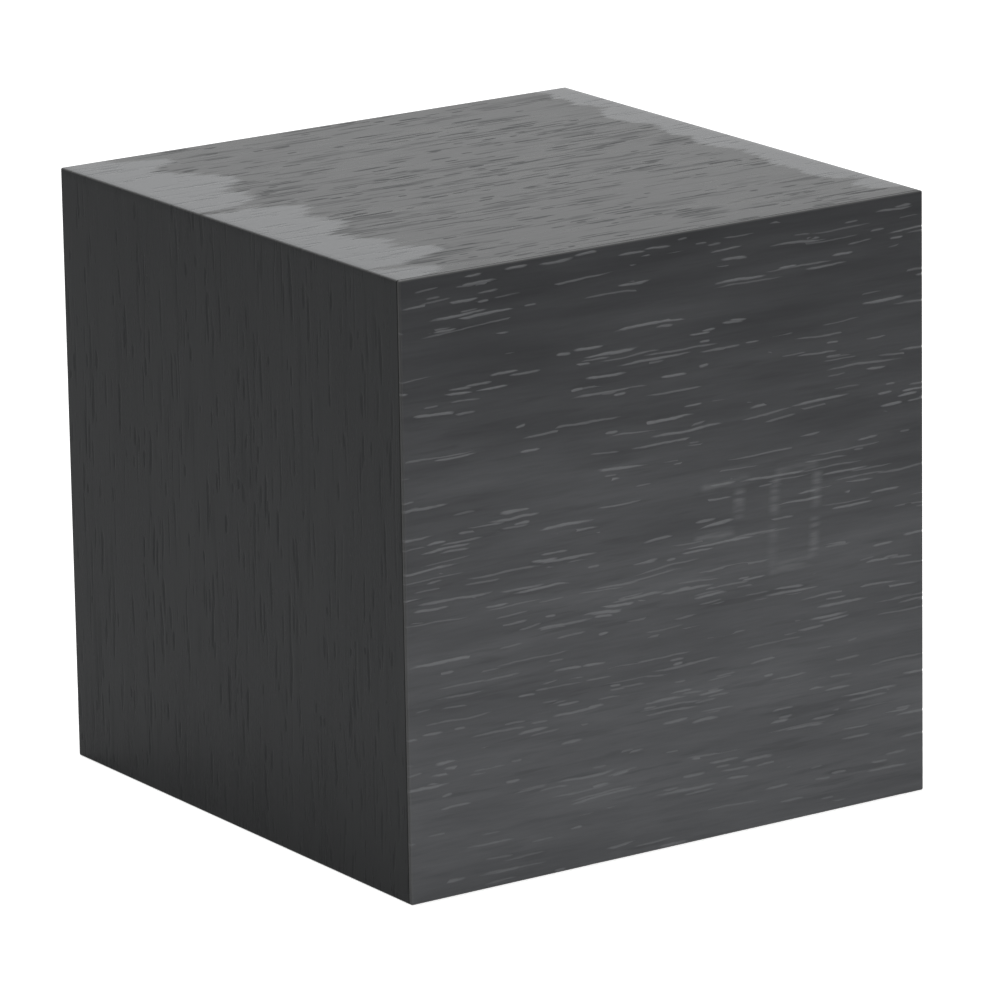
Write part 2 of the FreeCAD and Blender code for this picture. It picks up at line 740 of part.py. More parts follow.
holder = node("coin_cell_holder")
pad(holder, "XZ", MAIN_BACK, HOLDER_TOP, disc(*COIN, HOLDER_DIAMETER))
pocket(holder, "XZ", COIN_FLOOR, HOLDER_TOP, disc(*COIN, "coin_diameter + 2 * coin_gap"))
pocket(holder, "XZ", COIN_TOP, HOLDER_TOP, strip("clip_width + coin_gap"))
pad(node("coin_cell"), "XZ", COIN_FLOOR, COIN_TOP, disc(*COIN, "coin_diameter"))
pad(node("coin_cell_clip"), "XZ", COIN_TOP, HOLDER_TOP, strip("clip_width"))

# Battery space: three cells lying across the clock, side by side
LEDGE = f"({COVER_OUT} - door_thick - door_seat)"
TUB_FLOOR = f"({LEDGE} - cell_head_gap - cell_diameter - cell_seat_gap)"
CELL_AXIS = f"({TUB_FLOOR} + cell_seat_gap + cell_diameter / 2)"
CELL_PITCH = "(cell_diameter + cell_gap)"
OPEN_LOW = f"({LOW} + door_rise)"
CELLS_LOW = f"({OPEN_LOW} + hinge_ledge)"
CELLS_TOP = f"({CELLS_LOW} + 2 * {CELL_PITCH} + cell_diameter + 2 * cell_side_gap)"
CELL_Z = [f"({CELLS_LOW} + cell_side_gap + cell_diameter / 2 + {i} * {CELL_PITCH})" for i in range(3)]
TUB_TOP = f"({CELLS_TOP} + {TUB_WALL})"
OPEN_X = f"({CELL_HALF} + ledge_width)"
OPEN_TOP = f"({TUB_TOP} + latch_zone)"
POCKET_X = "(latch_width / 2 + pocket_gap)"
POCKET_FLOOR = f"({COVER_OUT} - latch_depth - pocket_room)"
WELL_X = f"({POCKET_X} + pocket_wall)"
WELL_TOP = f"({OPEN_TOP} + keeper_depth + pocket_wall)"
KEEPER_TOP = f"({OPEN_TOP} + keeper_depth)"

# Rear board above the latch pocket: the row of keys and the row of sockets share the height left over
KEY_BLOCK = "(key_height + 2 * key_lip)"
ROW_GAP = f"(({TOP} - {WELL_TOP} - {KEY_BLOCK} - buzzer_diameter) / 3)"
KEY_ROW = f"({WELL_TOP} + {ROW_GAP} + {KEY_BLOCK} / 2)"
SOCKET_ROW = f"({TOP} - {ROW_GAP} - buzzer_diameter / 2)"
BOARD_LOW = f"({WELL_TOP} + rear_board_gap)"
BOARD_TOP = f"({TOP} - rear_board_gap)"
BOARD_BACK = f"({COVER_IN} - boss_length)"
BOARD_FRONT = f"({BOARD_BACK} - pcb_thick)"
BUZZER_X = "(-key_pitch / 2)"
BOSS_X = "(rear_board_width / 2 - boss_inset)"


def at_bosses(diameter):
    """Four discs at the corners of the rear board."""
    heights = (f"{BOARD_LOW} + boss_inset", f"{BOARD_TOP} - boss_inset")
    return [disc(f"{x} * {BOSS_X}", z, diameter) for x in SIGNS for z in heights]


def at_blocks(diameter):
    """Four discs at the middles of the corner blocks."""
    return [disc(f"{x} * {BLOCK_X}", z, diameter) for x in SIGNS for z in BLOCK_HEIGHTS.values()]


# Back cover: one moulding that carries the battery tub, the latch pocket and the rear board
COVER_X = f"({CAVITY} + rabbet_width - cover_gap)"
cover = node("back_cover")
cover_plate = rounded(f"-{COVER_X}", COVER_X, f"{MIDDLE} - {COVER_X}", f"{MIDDLE} + {COVER_X}", "cover_round")
pad(cover, "XZ", COVER_IN, COVER_OUT, cover_plate)
pad(cover, "XZ", f"{TUB_FLOOR} - tub_floor", COVER_IN,
    rectangle(f"-{TUB_X}", TUB_X, f"{OPEN_LOW} - ledge_overlap", TUB_TOP))
pad(cover, "XZ", f"{LEDGE} - ledge_floor", COVER_IN,
    rectangle(f"-{TUB_X}", TUB_X, f"{TUB_TOP} - {TUB_WALL}", f"{OPEN_TOP} + ledge_overlap"))
pad(cover, "XZ", f"{POCKET_FLOOR} - pocket_wall", COVER_IN,
    rectangle(f"-{WELL_X}", WELL_X, f"{TUB_TOP} - {TUB_WALL}", WELL_TOP))
for sign in SIGNS:
    rib = centred(f"{sign} * ({CAVITY} - rib_gap - rib_width / 2)", MIDDLE, "rib_width", "rib_length")
    pad(cover, "XZ", f"{COVER_IN} - rib_height", COVER_IN, rib)
pad(cover, "XZ", BOARD_BACK, COVER_IN, *at_bosses("boss_diameter"))
pocket(cover, "XZ", LEDGE, COVER_OUT, rounded(f"-{OPEN_X}", OPEN_X, OPEN_LOW, OPEN_TOP, "door_round"))
pocket(cover, "XZ", TUB_FLOOR, LEDGE, rectangle(f"-{CELL_HALF}", CELL_HALF, CELLS_LOW, CELLS_TOP))
pocket(cover, "XZ", POCKET_FLOOR, LEDGE, rectangle(f"-{POCKET_X}", POCKET_X, TUB_TOP, OPEN_TOP))
KEEPER_X = "(nib_width / 2 + pocket_gap)"
pocket(cover, "XZ", f"{COVER_IN} - keeper_height", COVER_IN,
       rectangle(f"-{KEEPER_X}", KEEPER_X, f"{OPEN_TOP} - ledge_overlap", KEEPER_TOP))
pocket(cover, "XZ", BOARD_BACK, f"{COVER_IN} - boss_roof", *at_bosses("boss_bore"))

# Dividers between the cells
for lower, upper in zip(CELL_Z, CELL_Z[1:]):
    divider = centred("0", f"(({lower} + {upper}) / 2)", "divider_length", "divider_width")
    pad(cover, "XZ", TUB_FLOOR, f"{TUB_FLOOR} + divider_height", divider)

# Notches for the door's hooks, and slots in the tub floor for the two solder tabs
HOOK_OUT = f"({COVER_IN} - hook_gap)"
HOOK_IN = f"({HOOK_OUT} - hook_thick)"
for sign in SIGNS:
    half = "(hook_width / 2 + hook_side_gap)"
    pocket(cover, "XZ", f"{HOOK_IN} - notch_depth", LEDGE,
           rectangle(f"{sign} * hook_shift - {half}", f"{sign} * hook_shift + {half}",
                     f"{OPEN_LOW} - ledge_overlap", CELLS_LOW))
TAB_ENDS = (("-1", CELL_Z[0]), ("1", CELL_Z[2]))
for sign, z in TAB_ENDS:
    width = "(contact_thick + screw_fit)"
    slot = centred(f"{sign} * ({CELL_HALF} - {width} / 2)", z, width, "contact_tab + 2 * screw_fit")
    pocket(cover, "XZ", f"{TUB_FLOOR} - tub_floor", TUB_FLOOR, slot)

# Holes in the cover for the keys, the slide switch, the socket, the sounder and the screws
KEYS = {"set": "1", "down": "0", "up": "-1"}


def key_outline(place, grow, radius):
    """Rounded rectangle of one key, larger all round by grow."""
    left = f"({place} * key_pitch - key_width / 2 - {grow})"
    low = f"({KEY_ROW} - key_height / 2 - {grow})"
    return rounded(left, f"{left} + key_width + 2 * {grow}", low, f"{low} + key_height + 2 * {grow}", radius)


key_holes = [key_outline(place, "key_gap", "key_round + key_gap") for place in KEYS.values()]
pocket(cover, "XZ", COVER_IN, COVER_OUT, *key_holes)


def slide_slot(grow):
    """Room for the knob over its whole travel, larger all round by grow."""
    spare = f"2 * (knob_gap + {grow})"
    length = f"slide_travel + knob_length + {spare}"
    return centred("slide_shift", SOCKET_ROW, length, f"knob_width + {spare}")


pocket(cover, "XZ", COVER_IN, COVER_OUT, slide_slot("0"))
pocket(cover, "XZ", f"{COVER_OUT} - slot_recess", COVER_OUT, slide_slot("slot_border"))
hole_left = "(socket_shift - socket_width / 2 - socket_gap)"
hole_low = f"({SOCKET_ROW} - socket_height / 2 - socket_gap)"
socket_hole = rounded(hole_left, f"{hole_left} + socket_width + 2 * socket_gap",
                      hole_low, f"{hole_low} + socket_height + 2 * socket_gap", "socket_gap")
pocket(cover, "XZ", COVER_IN, COVER_OUT, socket_hole)
grille = [disc(BUZZER_X, SOCKET_ROW, "grille_hole")]
for turn in range(0, 360, 60):
    grille.append(disc(f"{BUZZER_X} + grille_radius * cos({turn})",
                       f"{SOCKET_ROW} + grille_radius * sin({turn})", "grille_hole"))
pocket(cover, "XZ", COVER_IN, COVER_OUT, *grille)
pocket(cover, "XZ", COVER_IN, COVER_OUT, *at_blocks(SCREW_HOLE))
pocket(cover, "XZ", f"{COVER_OUT} - cover_sink", COVER_OUT, *at_blocks("screw_head + screw_head_gap"))

cover_screws = node("cover_screws")
SINK_FLOOR = f"({COVER_OUT} - cover_sink)"
pad(cover_screws, "XZ", f"{SINK_FLOOR} - {COVER_SCREW_LENGTH}", SINK_FLOOR, *at_blocks("screw_diameter"))
heads = pad(cover_screws, "XZ", SINK_FLOOR, f"{SINK_FLOOR} + screw_head_height", *at_blocks("screw_head"))
ease(cover_screws, heads, "screw_head_ease", at_back)

# Battery door: a plate with hooks under the opening's lower edge, which swings about that edge
DOOR_X = f"({OPEN_X} - door_gap)"
DOOR_LOW = f"({OPEN_LOW} + door_gap)"
DOOR_TOP = f"({OPEN_TOP} - door_gap)"
DOOR_IN = f"({COVER_OUT} - door_thick)"
NOTCH_LOW = f"({TUB_TOP} + latch_seat)"
NOTCH_X = "(latch_width / 2 + latch_gap)"
door = node("battery_door")
pad(door, "XZ", DOOR_IN, COVER_OUT, rounded(f"-{DOOR_X}", DOOR_X, DOOR_LOW, DOOR_TOP, "door_round"))
pocket(door, "XZ", DOOR_IN, COVER_OUT,
       rectangle(f"-{NOTCH_X}", NOTCH_X, NOTCH_LOW, f"{DOOR_TOP} + latch_gap"))
for sign in SIGNS:
    left = f"{sign} * hook_shift - hook_width / 2"
    right = f"{sign} * hook_shift + hook_width / 2"
    pad(door, "XZ", HOOK_IN, DOOR_IN, rectangle(left, right, DOOR_LOW, f"{DOOR_LOW} + hook_root"))
    pad(door, "XZ", HOOK_IN, HOOK_OUT, rectangle(left, right, f"{OPEN_LOW} - hook_reach", DOOR_LOW))
grip_low = f"({NOTCH_LOW} - (grip_count + 0.5) * grip_pitch)"
for i in range(int(size_of("grip_count"))):
    low = f"({grip_low} + {i} * grip_pitch)"
    pad(door, "XZ", COVER_OUT, f"{COVER_OUT} + grip_height",
        rectangle("-grip_length / 2", "grip_length / 2", low, f"{low} + grip_width"))

# Door latch: a springy loop moulded on the door's edge, whose nib catches under the cover
latch = node("door_latch")
LATCH_TIP = f"({DOOR_TOP} - latch_gap)"
LOOP_FLOOR = f"({COVER_OUT} - latch_depth)"


def across_latch(low, high):
    return rectangle("-latch_width / 2", "latch_width / 2", low, high)


pad(latch, "XZ", LOOP_FLOOR, COVER_OUT, across_latch(NOTCH_LOW, f"{NOTCH_LOW} + latch_thick"))
pad(latch, "XZ", LOOP_FLOOR, f"{LOOP_FLOOR} + latch_thick", across_latch(NOTCH_LOW, LATCH_TIP))
pad(latch, "XZ", LOOP_FLOOR, COVER_OUT, across_latch(f"{LATCH_TIP} - latch_thick", LATCH_TIP))
NIB_OUT = f"({COVER_IN} - nib_gap)"
pad(latch, "XZ", f"{NIB_OUT} - nib_height", NIB_OUT,
    rectangle("-nib_width / 2", "nib_width / 2", f"{LATCH_TIP} - latch_thick", f"{LATCH_TIP} + nib_reach"))

# Cells: the plus ends alternate, so that the plates join them in a row
PLATE_FACE = f"({CELL_HALF} - contact_thick)"
for i, (z, sign) in enumerate(zip(CELL_Z, ("1", "-1", "1")), start=1):
    cell = node(f"cell_{i}")
    plus_end = f"({sign} * {PLATE_FACE})"
    shoulder = f"({plus_end} - {sign} * nub_length)"
    minus_end = f"({plus_end} - {sign} * cell_length)"
    ends = (minus_end, shoulder) if sign == "1" else (shoulder, minus_end)
    can = pad(cell, "YZ", *ends, disc(CELL_AXIS, z, "cell_diameter"))
    ease(cell, can, "cell_ease", at_ends)
    nub = (shoulder, plus_end) if sign == "1" else (plus_end, shoulder)
    pad(cell, "YZ", *nub, disc(CELL_AXIS, z, "nub_diameter"))

# Contact plates against the tub's end walls, two of them with a solder tab through the floor


def plate(label, sign, cells, with_tab):
    """Plate behind one or two cell ends, at the left (-1) or right (1) end of the tub."""
    body = node(label)
    wall = f"({sign} * {CELL_HALF})"
    face = f"({sign} * {PLATE_FACE})"
    ends = (face, wall) if sign == "1" else (wall, face)
    low = f"{CELL_Z[cells[0]]} - contact_width / 2"
    high = f"{CELL_Z[cells[-1]]} + contact_width / 2"
    half = "contact_height / 2"
    pad(body, "YZ", *ends, rectangle(f"{CELL_AXIS} - {half}", f"{CELL_AXIS} + {half}", low, high))
    if with_tab:
        z = CELL_Z[cells[0]]
        pad(body, "YZ", *ends, rectangle(f"{TUB_FLOOR} - tub_floor - tab_length", f"{CELL_AXIS}",
                                         f"{z} - contact_tab / 2", f"{z} + contact_tab / 2"))


plate("contact_negative", "-1", (0,), True)
plate("contact_bridge_left", "-1", (1, 2), False)
plate("contact_bridge_right", "1", (0, 1), False)
plate("contact_positive", "1", (2,), True)

# Battery springs: one cone of wire behind the flat end of each cell, widest at the plate
PAIRS_PER_TURN = 4


def spring_coil(outward):
    """Spring wound about X from its plate, in steps of a quarter turn, with its radius shrinking steadily."""
    wire_radius = size_of("spring_wire") / 2
    length = size_of("spring_length") - 2 * wire_radius - 2 * size_of("spring_seat")
    base = size_of("spring_base")
    loss = base - size_of("spring_tip")
    turned = 2 * math.pi * size_of("spring_turns")
    count = round(PAIRS_PER_TURN * size_of("spring_turns"))
    stations = []
    for i in range(count + 1):
        share = i / count
        outer = V(0, math.cos(share * turned), math.sin(share * turned))
        around = V(0, -outer.z, outer.y)
        radius = base - share * loss
        ahead = V(outward * (wire_radius + size_of("spring_seat") + share * length), 0, 0)
        heading = V(outward * length, 0, 0) - outer * loss + around * (radius * turned)
        stations.append((ahead + outer * radius, heading.normalize()))
    arcs = [arc for here, there in zip(stations, stations[1:]) for arc in arc_pair(*here, *there)]
    line = Part.Wire(arcs)
    ring = Part.Wire(Part.makeCircle(wire_radius, *stations[0]))
    points = [point for arc in arcs for point in arc.discretize(12)[:-1]]
    half_turn = len(points) // round(2 * size_of("spring_turns"))
    gaps = [near.distanceToPoint(far) for i, near in enumerate(points) for far in points[i + half_turn:]]
    print("least gap between a spring's turns, mm:", round(min(gaps) - 2 * wire_radius, 2))
    return line.makePipeShell([ring], True, False)


springs = doc.addObject("Part::Compound", "battery_springs")
springs.Label = "battery_springs"
coils = []
for i, (z, outward) in enumerate(zip(CELL_Z, (1, -1, 1)), start=1):
    coil = doc.addObject("Part::Feature", f"spring_{i}")
    coil.Shape = spring_coil(outward)
    bind(coil, "Placement.Base.x", f"{-outward} * {PLATE_FACE}")
    bind(coil, "Placement.Base.y", CELL_AXIS)
    bind(coil, "Placement.Base.z", z)
    coils.append(coil)
springs.Links = coils
NODES["battery_springs"] = springs

# Keys: caps with a lip behind the cover and a stem that stands on the switch's plunger
TACT_TOP = f"({BOARD_BACK} + tact_height)"
PLUNGER_TOP = f"({TACT_TOP} + plunger_height)"
LIP_OUT = f"({COVER_IN} - key_lip_gap)"
LIP_IN = f"({LIP_OUT} - key_lip_thick)"
for name, place in KEYS.items():
    x = f"({place} * key_pitch)"
    key = node("button_" + name)
    cap = pad(key, "XZ", LIP_OUT, f"{COVER_OUT} + key_proud", key_outline(place, "0", "key_round"))
    ease(key, cap, "key_ease", at_back)
    pad(key, "XZ", LIP_IN, LIP_OUT, key_outline(place, "key_lip", "key_round"))
    pad(key, "XZ", f"{PLUNGER_TOP} + stem_gap", LIP_IN, disc(x, KEY_ROW, "key_stem"))
    plunger = node("tact_plunger_" + name)
    pad(plunger, "XZ", f"{TACT_TOP} - plunger_sink", PLUNGER_TOP, disc(x, KEY_ROW, "plunger_diameter"))

tacts = node("tact_switches")
places = [f"({place} * key_pitch)" for place in KEYS.values()]
tact_squares = [centred(x, KEY_ROW, "tact_side", "tact_side") for x in places]
pad(tacts, "XZ", BOARD_BACK, TACT_TOP, *tact_squares)
pocket(tacts, "XZ", f"{TACT_TOP} - plunger_sink - plunger_room", TACT_TOP,
       *[disc(x, KEY_ROW, "plunger_diameter + 2 * plunger_gap") for x in places])

# Rear board and its screws
rear_board = node("rear_board")
pad(rear_board, "XZ", BOARD_FRONT, BOARD_BACK,
    rectangle("-rear_board_width / 2", "rear_board_width / 2", BOARD_LOW, BOARD_TOP))
pocket(rear_board, "XZ", BOARD_FRONT, BOARD_BACK, *at_bosses("boss_bore + screw_fit"))
rear_screws = node("rear_board_screws")
SCREW_TIP = f"{COVER_IN} - boss_roof - small_screw_room"
pad(rear_screws, "XZ", BOARD_FRONT, SCREW_TIP, *at_bosses("boss_bore - screw_fit"))
pad(rear_screws, "XZ", f"{BOARD_FRONT} - small_head_height", BOARD_FRONT, *at_bosses("small_head"))

# Slide switch: a body with a well, and the knob that slides in it
SLIDE_TOP = f"({BOARD_BACK} + slide_height)"
WELL_FLOOR = f"({SLIDE_TOP} - slide_well)"
switch = node("slide_switch_body")
pad(switch, "XZ", BOARD_BACK, SLIDE_TOP, centred("slide_shift", SOCKET_ROW, "slide_length", "slide_width"))
pocket(switch, "XZ", WELL_FLOOR, SLIDE_TOP, slide_slot("0"))
knob = node("switch_knob")
at_rest = centred("(slide_shift - slide_travel / 2)", SOCKET_ROW, "knob_length", "knob_width")
pad(knob, "XZ", f"{WELL_FLOOR} + knob_foot_gap", f"{COVER_OUT} - knob_below", at_rest)

# Power socket: a folded steel shell round a plastic tongue, facing backwards
SHELL_END = f"({COVER_OUT} - socket_below)"


def socket_section(inset):
    """The socket's outline with its two lower corners bevelled, smaller all round by inset."""
    half_x = f"(socket_width / 2 - ({inset}))"
    half_z = f"(socket_height / 2 - ({inset}))"
    bevel = f"(socket_bevel - ({inset}) * (2 - sqrt(2)))"
    corners = [(f"-{half_x}", half_z), (half_x, half_z), (half_x, f"{bevel} - {half_z}"),
               (f"{half_x} - {bevel}", f"-{half_z}"), (f"{bevel} - {half_x}", f"-{half_z}"),
               (f"-{half_x}", f"{bevel} - {half_z}")]
    return outline(*[(f"socket_shift + {across}", f"{SOCKET_ROW} + {up}") for across, up in corners])


shell = node("usb_shell")
pad(shell, "XZ", BOARD_BACK, SHELL_END, socket_section("0"))
pocket(shell, "XZ", BOARD_BACK, SHELL_END, socket_section("socket_wall"))
tongue = node("usb_tongue")
pad(tongue, "XZ", BOARD_BACK, f"{BOARD_BACK} + socket_base", socket_section("socket_wall"))
pad(tongue, "XZ", f"{BOARD_BACK} + socket_base", f"{SHELL_END} - tongue_back",
    centred("socket_shift", SOCKET_ROW, "tongue_width", "tongue_thick"))

# Sounder behind the cover's grille, and the temperature sensor on the board's other face
buzzer = node("buzzer")
BUZZER_TOP = f"({BOARD_BACK} + buzzer_height)"
pad(buzzer, "XZ", BOARD_BACK, BUZZER_TOP, disc(BUZZER_X, SOCKET_ROW, "buzzer_diameter"))
pocket(buzzer, "XZ", f"{BUZZER_TOP} - buzzer_hole_depth", BUZZER_TOP,
       disc(BUZZER_X, SOCKET_ROW, "buzzer_hole"))

sensor = node("temperature_sensor")
SENSOR_BACK = f"({BOARD_FRONT} - sensor_stand)"
SENSOR_FRONT = f"({SENSOR_BACK} - sensor_height)"
SENSOR_Z = f"(({SOCKET_ROW} + {KEY_ROW}) / 2)"
pad(sensor, "XZ", SENSOR_FRONT, SENSOR_BACK, disc("sensor_shift", SENSOR_Z, "sensor_diameter"))
pocket(sensor, "XZ", SENSOR_FRONT, SENSOR_BACK,
       rectangle("sensor_shift - sensor_diameter", "sensor_shift + sensor_diameter",
                 f"{SENSOR_Z} + sensor_flat", f"{SENSOR_Z} + sensor_diameter"))
legs = [centred(f"sensor_shift + {i} * sensor_leg_pitch", SENSOR_Z, "sensor_leg", "sensor_leg")
        for i in (-1, 0, 1)]
pad(sensor, "XZ", SENSOR_BACK, BOARD_FRONT, *legs)

# Wiring: two leads from the solder tabs to the main board, and a flat cable between the boards
doc.recompute()
tab_boxes = {"-1": NODES["contact_negative"].Shape.BoundBox, "1": NODES["contact_positive"].Shape.BoundBox}
board_box = NODES["main_board"].Shape.BoundBox
rear_box = NODES["rear_board"].Shape.BoundBox
profiles = []
for sign, tab in tab_boxes.items():
    x = (tab.XMin + tab.XMax) / 2
    z = {"-1": tab.ZMin + size_of("contact_width") / 2, "1": tab.ZMax - size_of("contact_width") / 2}[sign]
    landing = board_box.Center.z + size_of("lead_rise")
    start = tab.YMin
    end = board_box.YMax
    route = [V(x, start, z), V(x, start - size_of("lead_run"), z), V(x, end + size_of("lead_run"), landing),
             V(x, end, landing)]
    wire = bent_route(route, size_of("lead_bend"))
    ring = Part.Wire(Part.makeCircle(size_of("lead_diameter") / 2, route[0], V(0, 1, 0)))
    profiles.append((ring, wire))
swept("battery_leads", profiles)

cable_start = V(0, rear_box.YMin, rear_box.ZMin + size_of("boss_inset"))
cable_end = V(0, board_box.YMax, board_box.Center.z + size_of("ribbon_rise"))
cable_turn = V(0, size_of("ribbon_run"), 0)
route = [cable_start, cable_start - cable_turn, cable_end + cable_turn, cable_end]
half_width = V(size_of("ribbon_width") / 2, 0, 0)
half_thick = V(0, 0, size_of("ribbon_thick") / 2)
corners = [cable_start - half_width - half_thick, cable_start + half_width - half_thick,
           cable_start + half_width + half_thick, cable_start - half_width + half_thick]
band = Part.makePolygon(corners + corners[:1])
swept("ribbon_cable", [(band, bent_route(route, size_of("ribbon_bend")))])

doc.recompute()
for item in doc.Objects:
    if {"Invalid", "Error"} & set(item.State):
        raise RuntimeError(f"{item.Label} failed: {item.State}")
for label, item in NODES.items():
    if item.Shape.isNull() or not item.Shape.isValid():
        raise RuntimeError(f"{label} has no valid shape")

os.makedirs("parts", exist_ok=True)
for label, item in NODES.items():
    item.Shape.exportStep(f"parts/{label}.step")
print(len(NODES), "nodes written")
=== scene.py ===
import math

import bmesh
import bpy
import numpy as np
from mathutils import Matrix, Vector


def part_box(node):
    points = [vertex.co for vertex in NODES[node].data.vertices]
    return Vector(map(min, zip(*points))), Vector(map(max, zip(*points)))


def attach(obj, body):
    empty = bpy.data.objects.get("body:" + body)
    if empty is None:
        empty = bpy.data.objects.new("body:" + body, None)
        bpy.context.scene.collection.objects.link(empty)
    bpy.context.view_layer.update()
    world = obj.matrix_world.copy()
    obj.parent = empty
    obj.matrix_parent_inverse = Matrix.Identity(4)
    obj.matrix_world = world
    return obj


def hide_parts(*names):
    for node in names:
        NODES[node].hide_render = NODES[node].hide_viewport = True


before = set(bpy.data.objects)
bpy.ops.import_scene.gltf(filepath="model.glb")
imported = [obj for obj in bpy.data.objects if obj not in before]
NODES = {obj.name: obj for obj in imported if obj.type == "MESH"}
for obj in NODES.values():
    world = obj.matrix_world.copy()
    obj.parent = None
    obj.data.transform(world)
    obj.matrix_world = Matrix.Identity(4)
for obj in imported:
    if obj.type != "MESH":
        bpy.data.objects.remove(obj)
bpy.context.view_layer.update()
MM = 0.001

# ---- Sleeve boards ---------------------------
# Four 5 mm boards of raw fibreboard, folded into a tube on mitred corners and glued. Their sawn back rim shows
# round the cover, so the maker blackens it with ink.


def linear(code):
    """A colour as it looks on a screen, turned into the light values that Blender works in."""
    parts = [int(code[i:i + 2], 16) / 255 for i in (1, 3, 5)]
    return tuple(p / 12.92 if p <= 0.04045 else ((p + 0.055) / 1.055) ** 2.4 for p in parts) + (1.0,)


def add_node(tree, kind, *feeds, **named):
    """Adds a node. Lower-case names are its settings; values in order and capitalised names go to its inputs, each
    a plain value, a colour code, a node, one output of a node, or a list of nodes for an input that takes several."""
    made = tree.nodes.new(kind if "Node" in kind else "ShaderNode" + kind)
    for name, value in named.items():
        if name[0].islower():
            setattr(made, name, value)
    inputs = [(name.replace("_", " "), value) for name, value in named.items() if name[0].isupper()]
    for place, given in list(enumerate(feeds)) + inputs:
        for value in given if isinstance(given, list) else [given]:
            if isinstance(value, bpy.types.Node):
                value = value.outputs[0]
            elif isinstance(value, str) and value[0] == "#":
                value = linear(value)
            if isinstance(value, bpy.types.NodeSocket):
                tree.links.new(value, made.inputs[place])
            else:
                made.inputs[place].default_value = value
    return made


def start_finish(name):
    """A new material, its empty node tree, and where the mesh is, in metres."""
    material = bpy.data.materials.new(name)
    material.use_nodes = True
    tree = material.node_tree
    tree.nodes.clear()
    return material, tree, add_node(tree, "TexCoord").outputs["Object"]


def coat(material, *names):
    """Gives CAD nodes their finish."""
    for name in names:
        NODES[name].data.materials.clear()
        NODES[name].data.materials.append(material)


FIBRE = 0.5 * MM
RIM_BACK = 36.9 * MM


def raw_fibreboard():
    # MDF: pressed wood fibres, which read as short pale flecks in a dull brown. The sawn rim is inked black.
    material, tree, place = start_finish("raw_fibreboard")
    flecks = add_node(tree, "TexNoise", place, Scale=1 / FIBRE, Detail=6.0)
    along = add_node(tree, "SeparateXYZ", place).outputs["Y"]
    inked = add_node(tree, "Math", along, RIM_BACK, operation="GREATER_THAN")
    brown = add_node(tree, "MixRGB", flecks, "#8f6f4c", "#c2a27a")
    ink = add_node(tree, "MixRGB", flecks, "#1c1c1d", "#2c2c2d")
    relief = add_node(tree, "Bump", Height=flecks, Distance=0.06 * MM)
    colour = add_node(tree, "MixRGB", inked, brown, ink)
    add_node(tree, "OutputMaterial", add_node(tree, "BsdfPrincipled", colour, Roughness=0.85, Normal=relief))
    return material


FIBREBOARD = raw_fibreboard()
coat(FIBREBOARD, "panel_top", "panel_bottom", "panel_left", "panel_right")

# ---- Sleeve veneer ---------------------------
# Four sheets of open-pored oak, 0.6 mm thick, stained black under a satin lacquer. Their grain runs round the
# cube. They are mitred with the boards, sanded round at the edges and end under the front sheet.

SIDE = 80 * MM
SHEET = 0.6 * MM
EDGE_ROUND = 0.25 * MM
HAIRLINE = 0.08 * MM
GLUE_AND_SEAM_SHADE_LINE = 0.12 * MM
ROUND_STEPS = 6
ACROSS_SLEEVE = 0.16 * MM
ALONG_SLEEVE = 1.0 * MM


def edge_stations(kind, limit, outward):
    """Steps from the flat of a sheet out over one edge: centre, tilt, how far drawn in, how far down the wall."""
    if kind == "butt":
        return [(limit - outward * HAIRLINE, 0, 0, 0), (limit, 0, HAIRLINE, 0), (limit, 0, HAIRLINE, 1)]
    centre = limit - outward * EDGE_ROUND
    steps = ROUND_STEPS if kind == "round" else ROUND_STEPS // 2
    tilts = [outward * math.pi / 2 * i / ROUND_STEPS for i in range(steps + 1)]
    stations = [(centre, tilt, 0, 0) for tilt in tilts]
    if kind == "round":
        clear = 1 - HAIRLINE / (SHEET - EDGE_ROUND)
        stations.append((centre, tilts[-1], 0, clear))
    return stations + [(centre, tilts[-1], HAIRLINE if kind == "round" else 0, 1)]


def stations_across(low_kind, low, high_kind, high, step):
    """Stations from one edge of a sheet to the other, packed at the edges."""
    before = edge_stations(low_kind, low, -1)[::-1]
    after = edge_stations(high_kind, high, 1)
    count = round((after[0][0] - before[-1][0]) / step)
    flat = np.linspace(before[-1][0], after[0][0], count + 1)[1:-1]
    return np.array(before + [(centre, 0, 0, 0) for centre in flat] + after)


def welded(mesh, gap=0.001 * MM):
    """A mesh opened for editing, with points that lie within a gap made one."""
    build = bmesh.new()
    build.from_mesh(mesh)
    bmesh.ops.remove_doubles(build, verts=build.verts, dist=gap)
    return build


def close_up(build, mesh):
    """Turns every face outwards and writes the edited shape back."""
    bmesh.ops.recalc_face_normals(build, faces=build.faces)
    build.to_mesh(mesh)
    build.free()


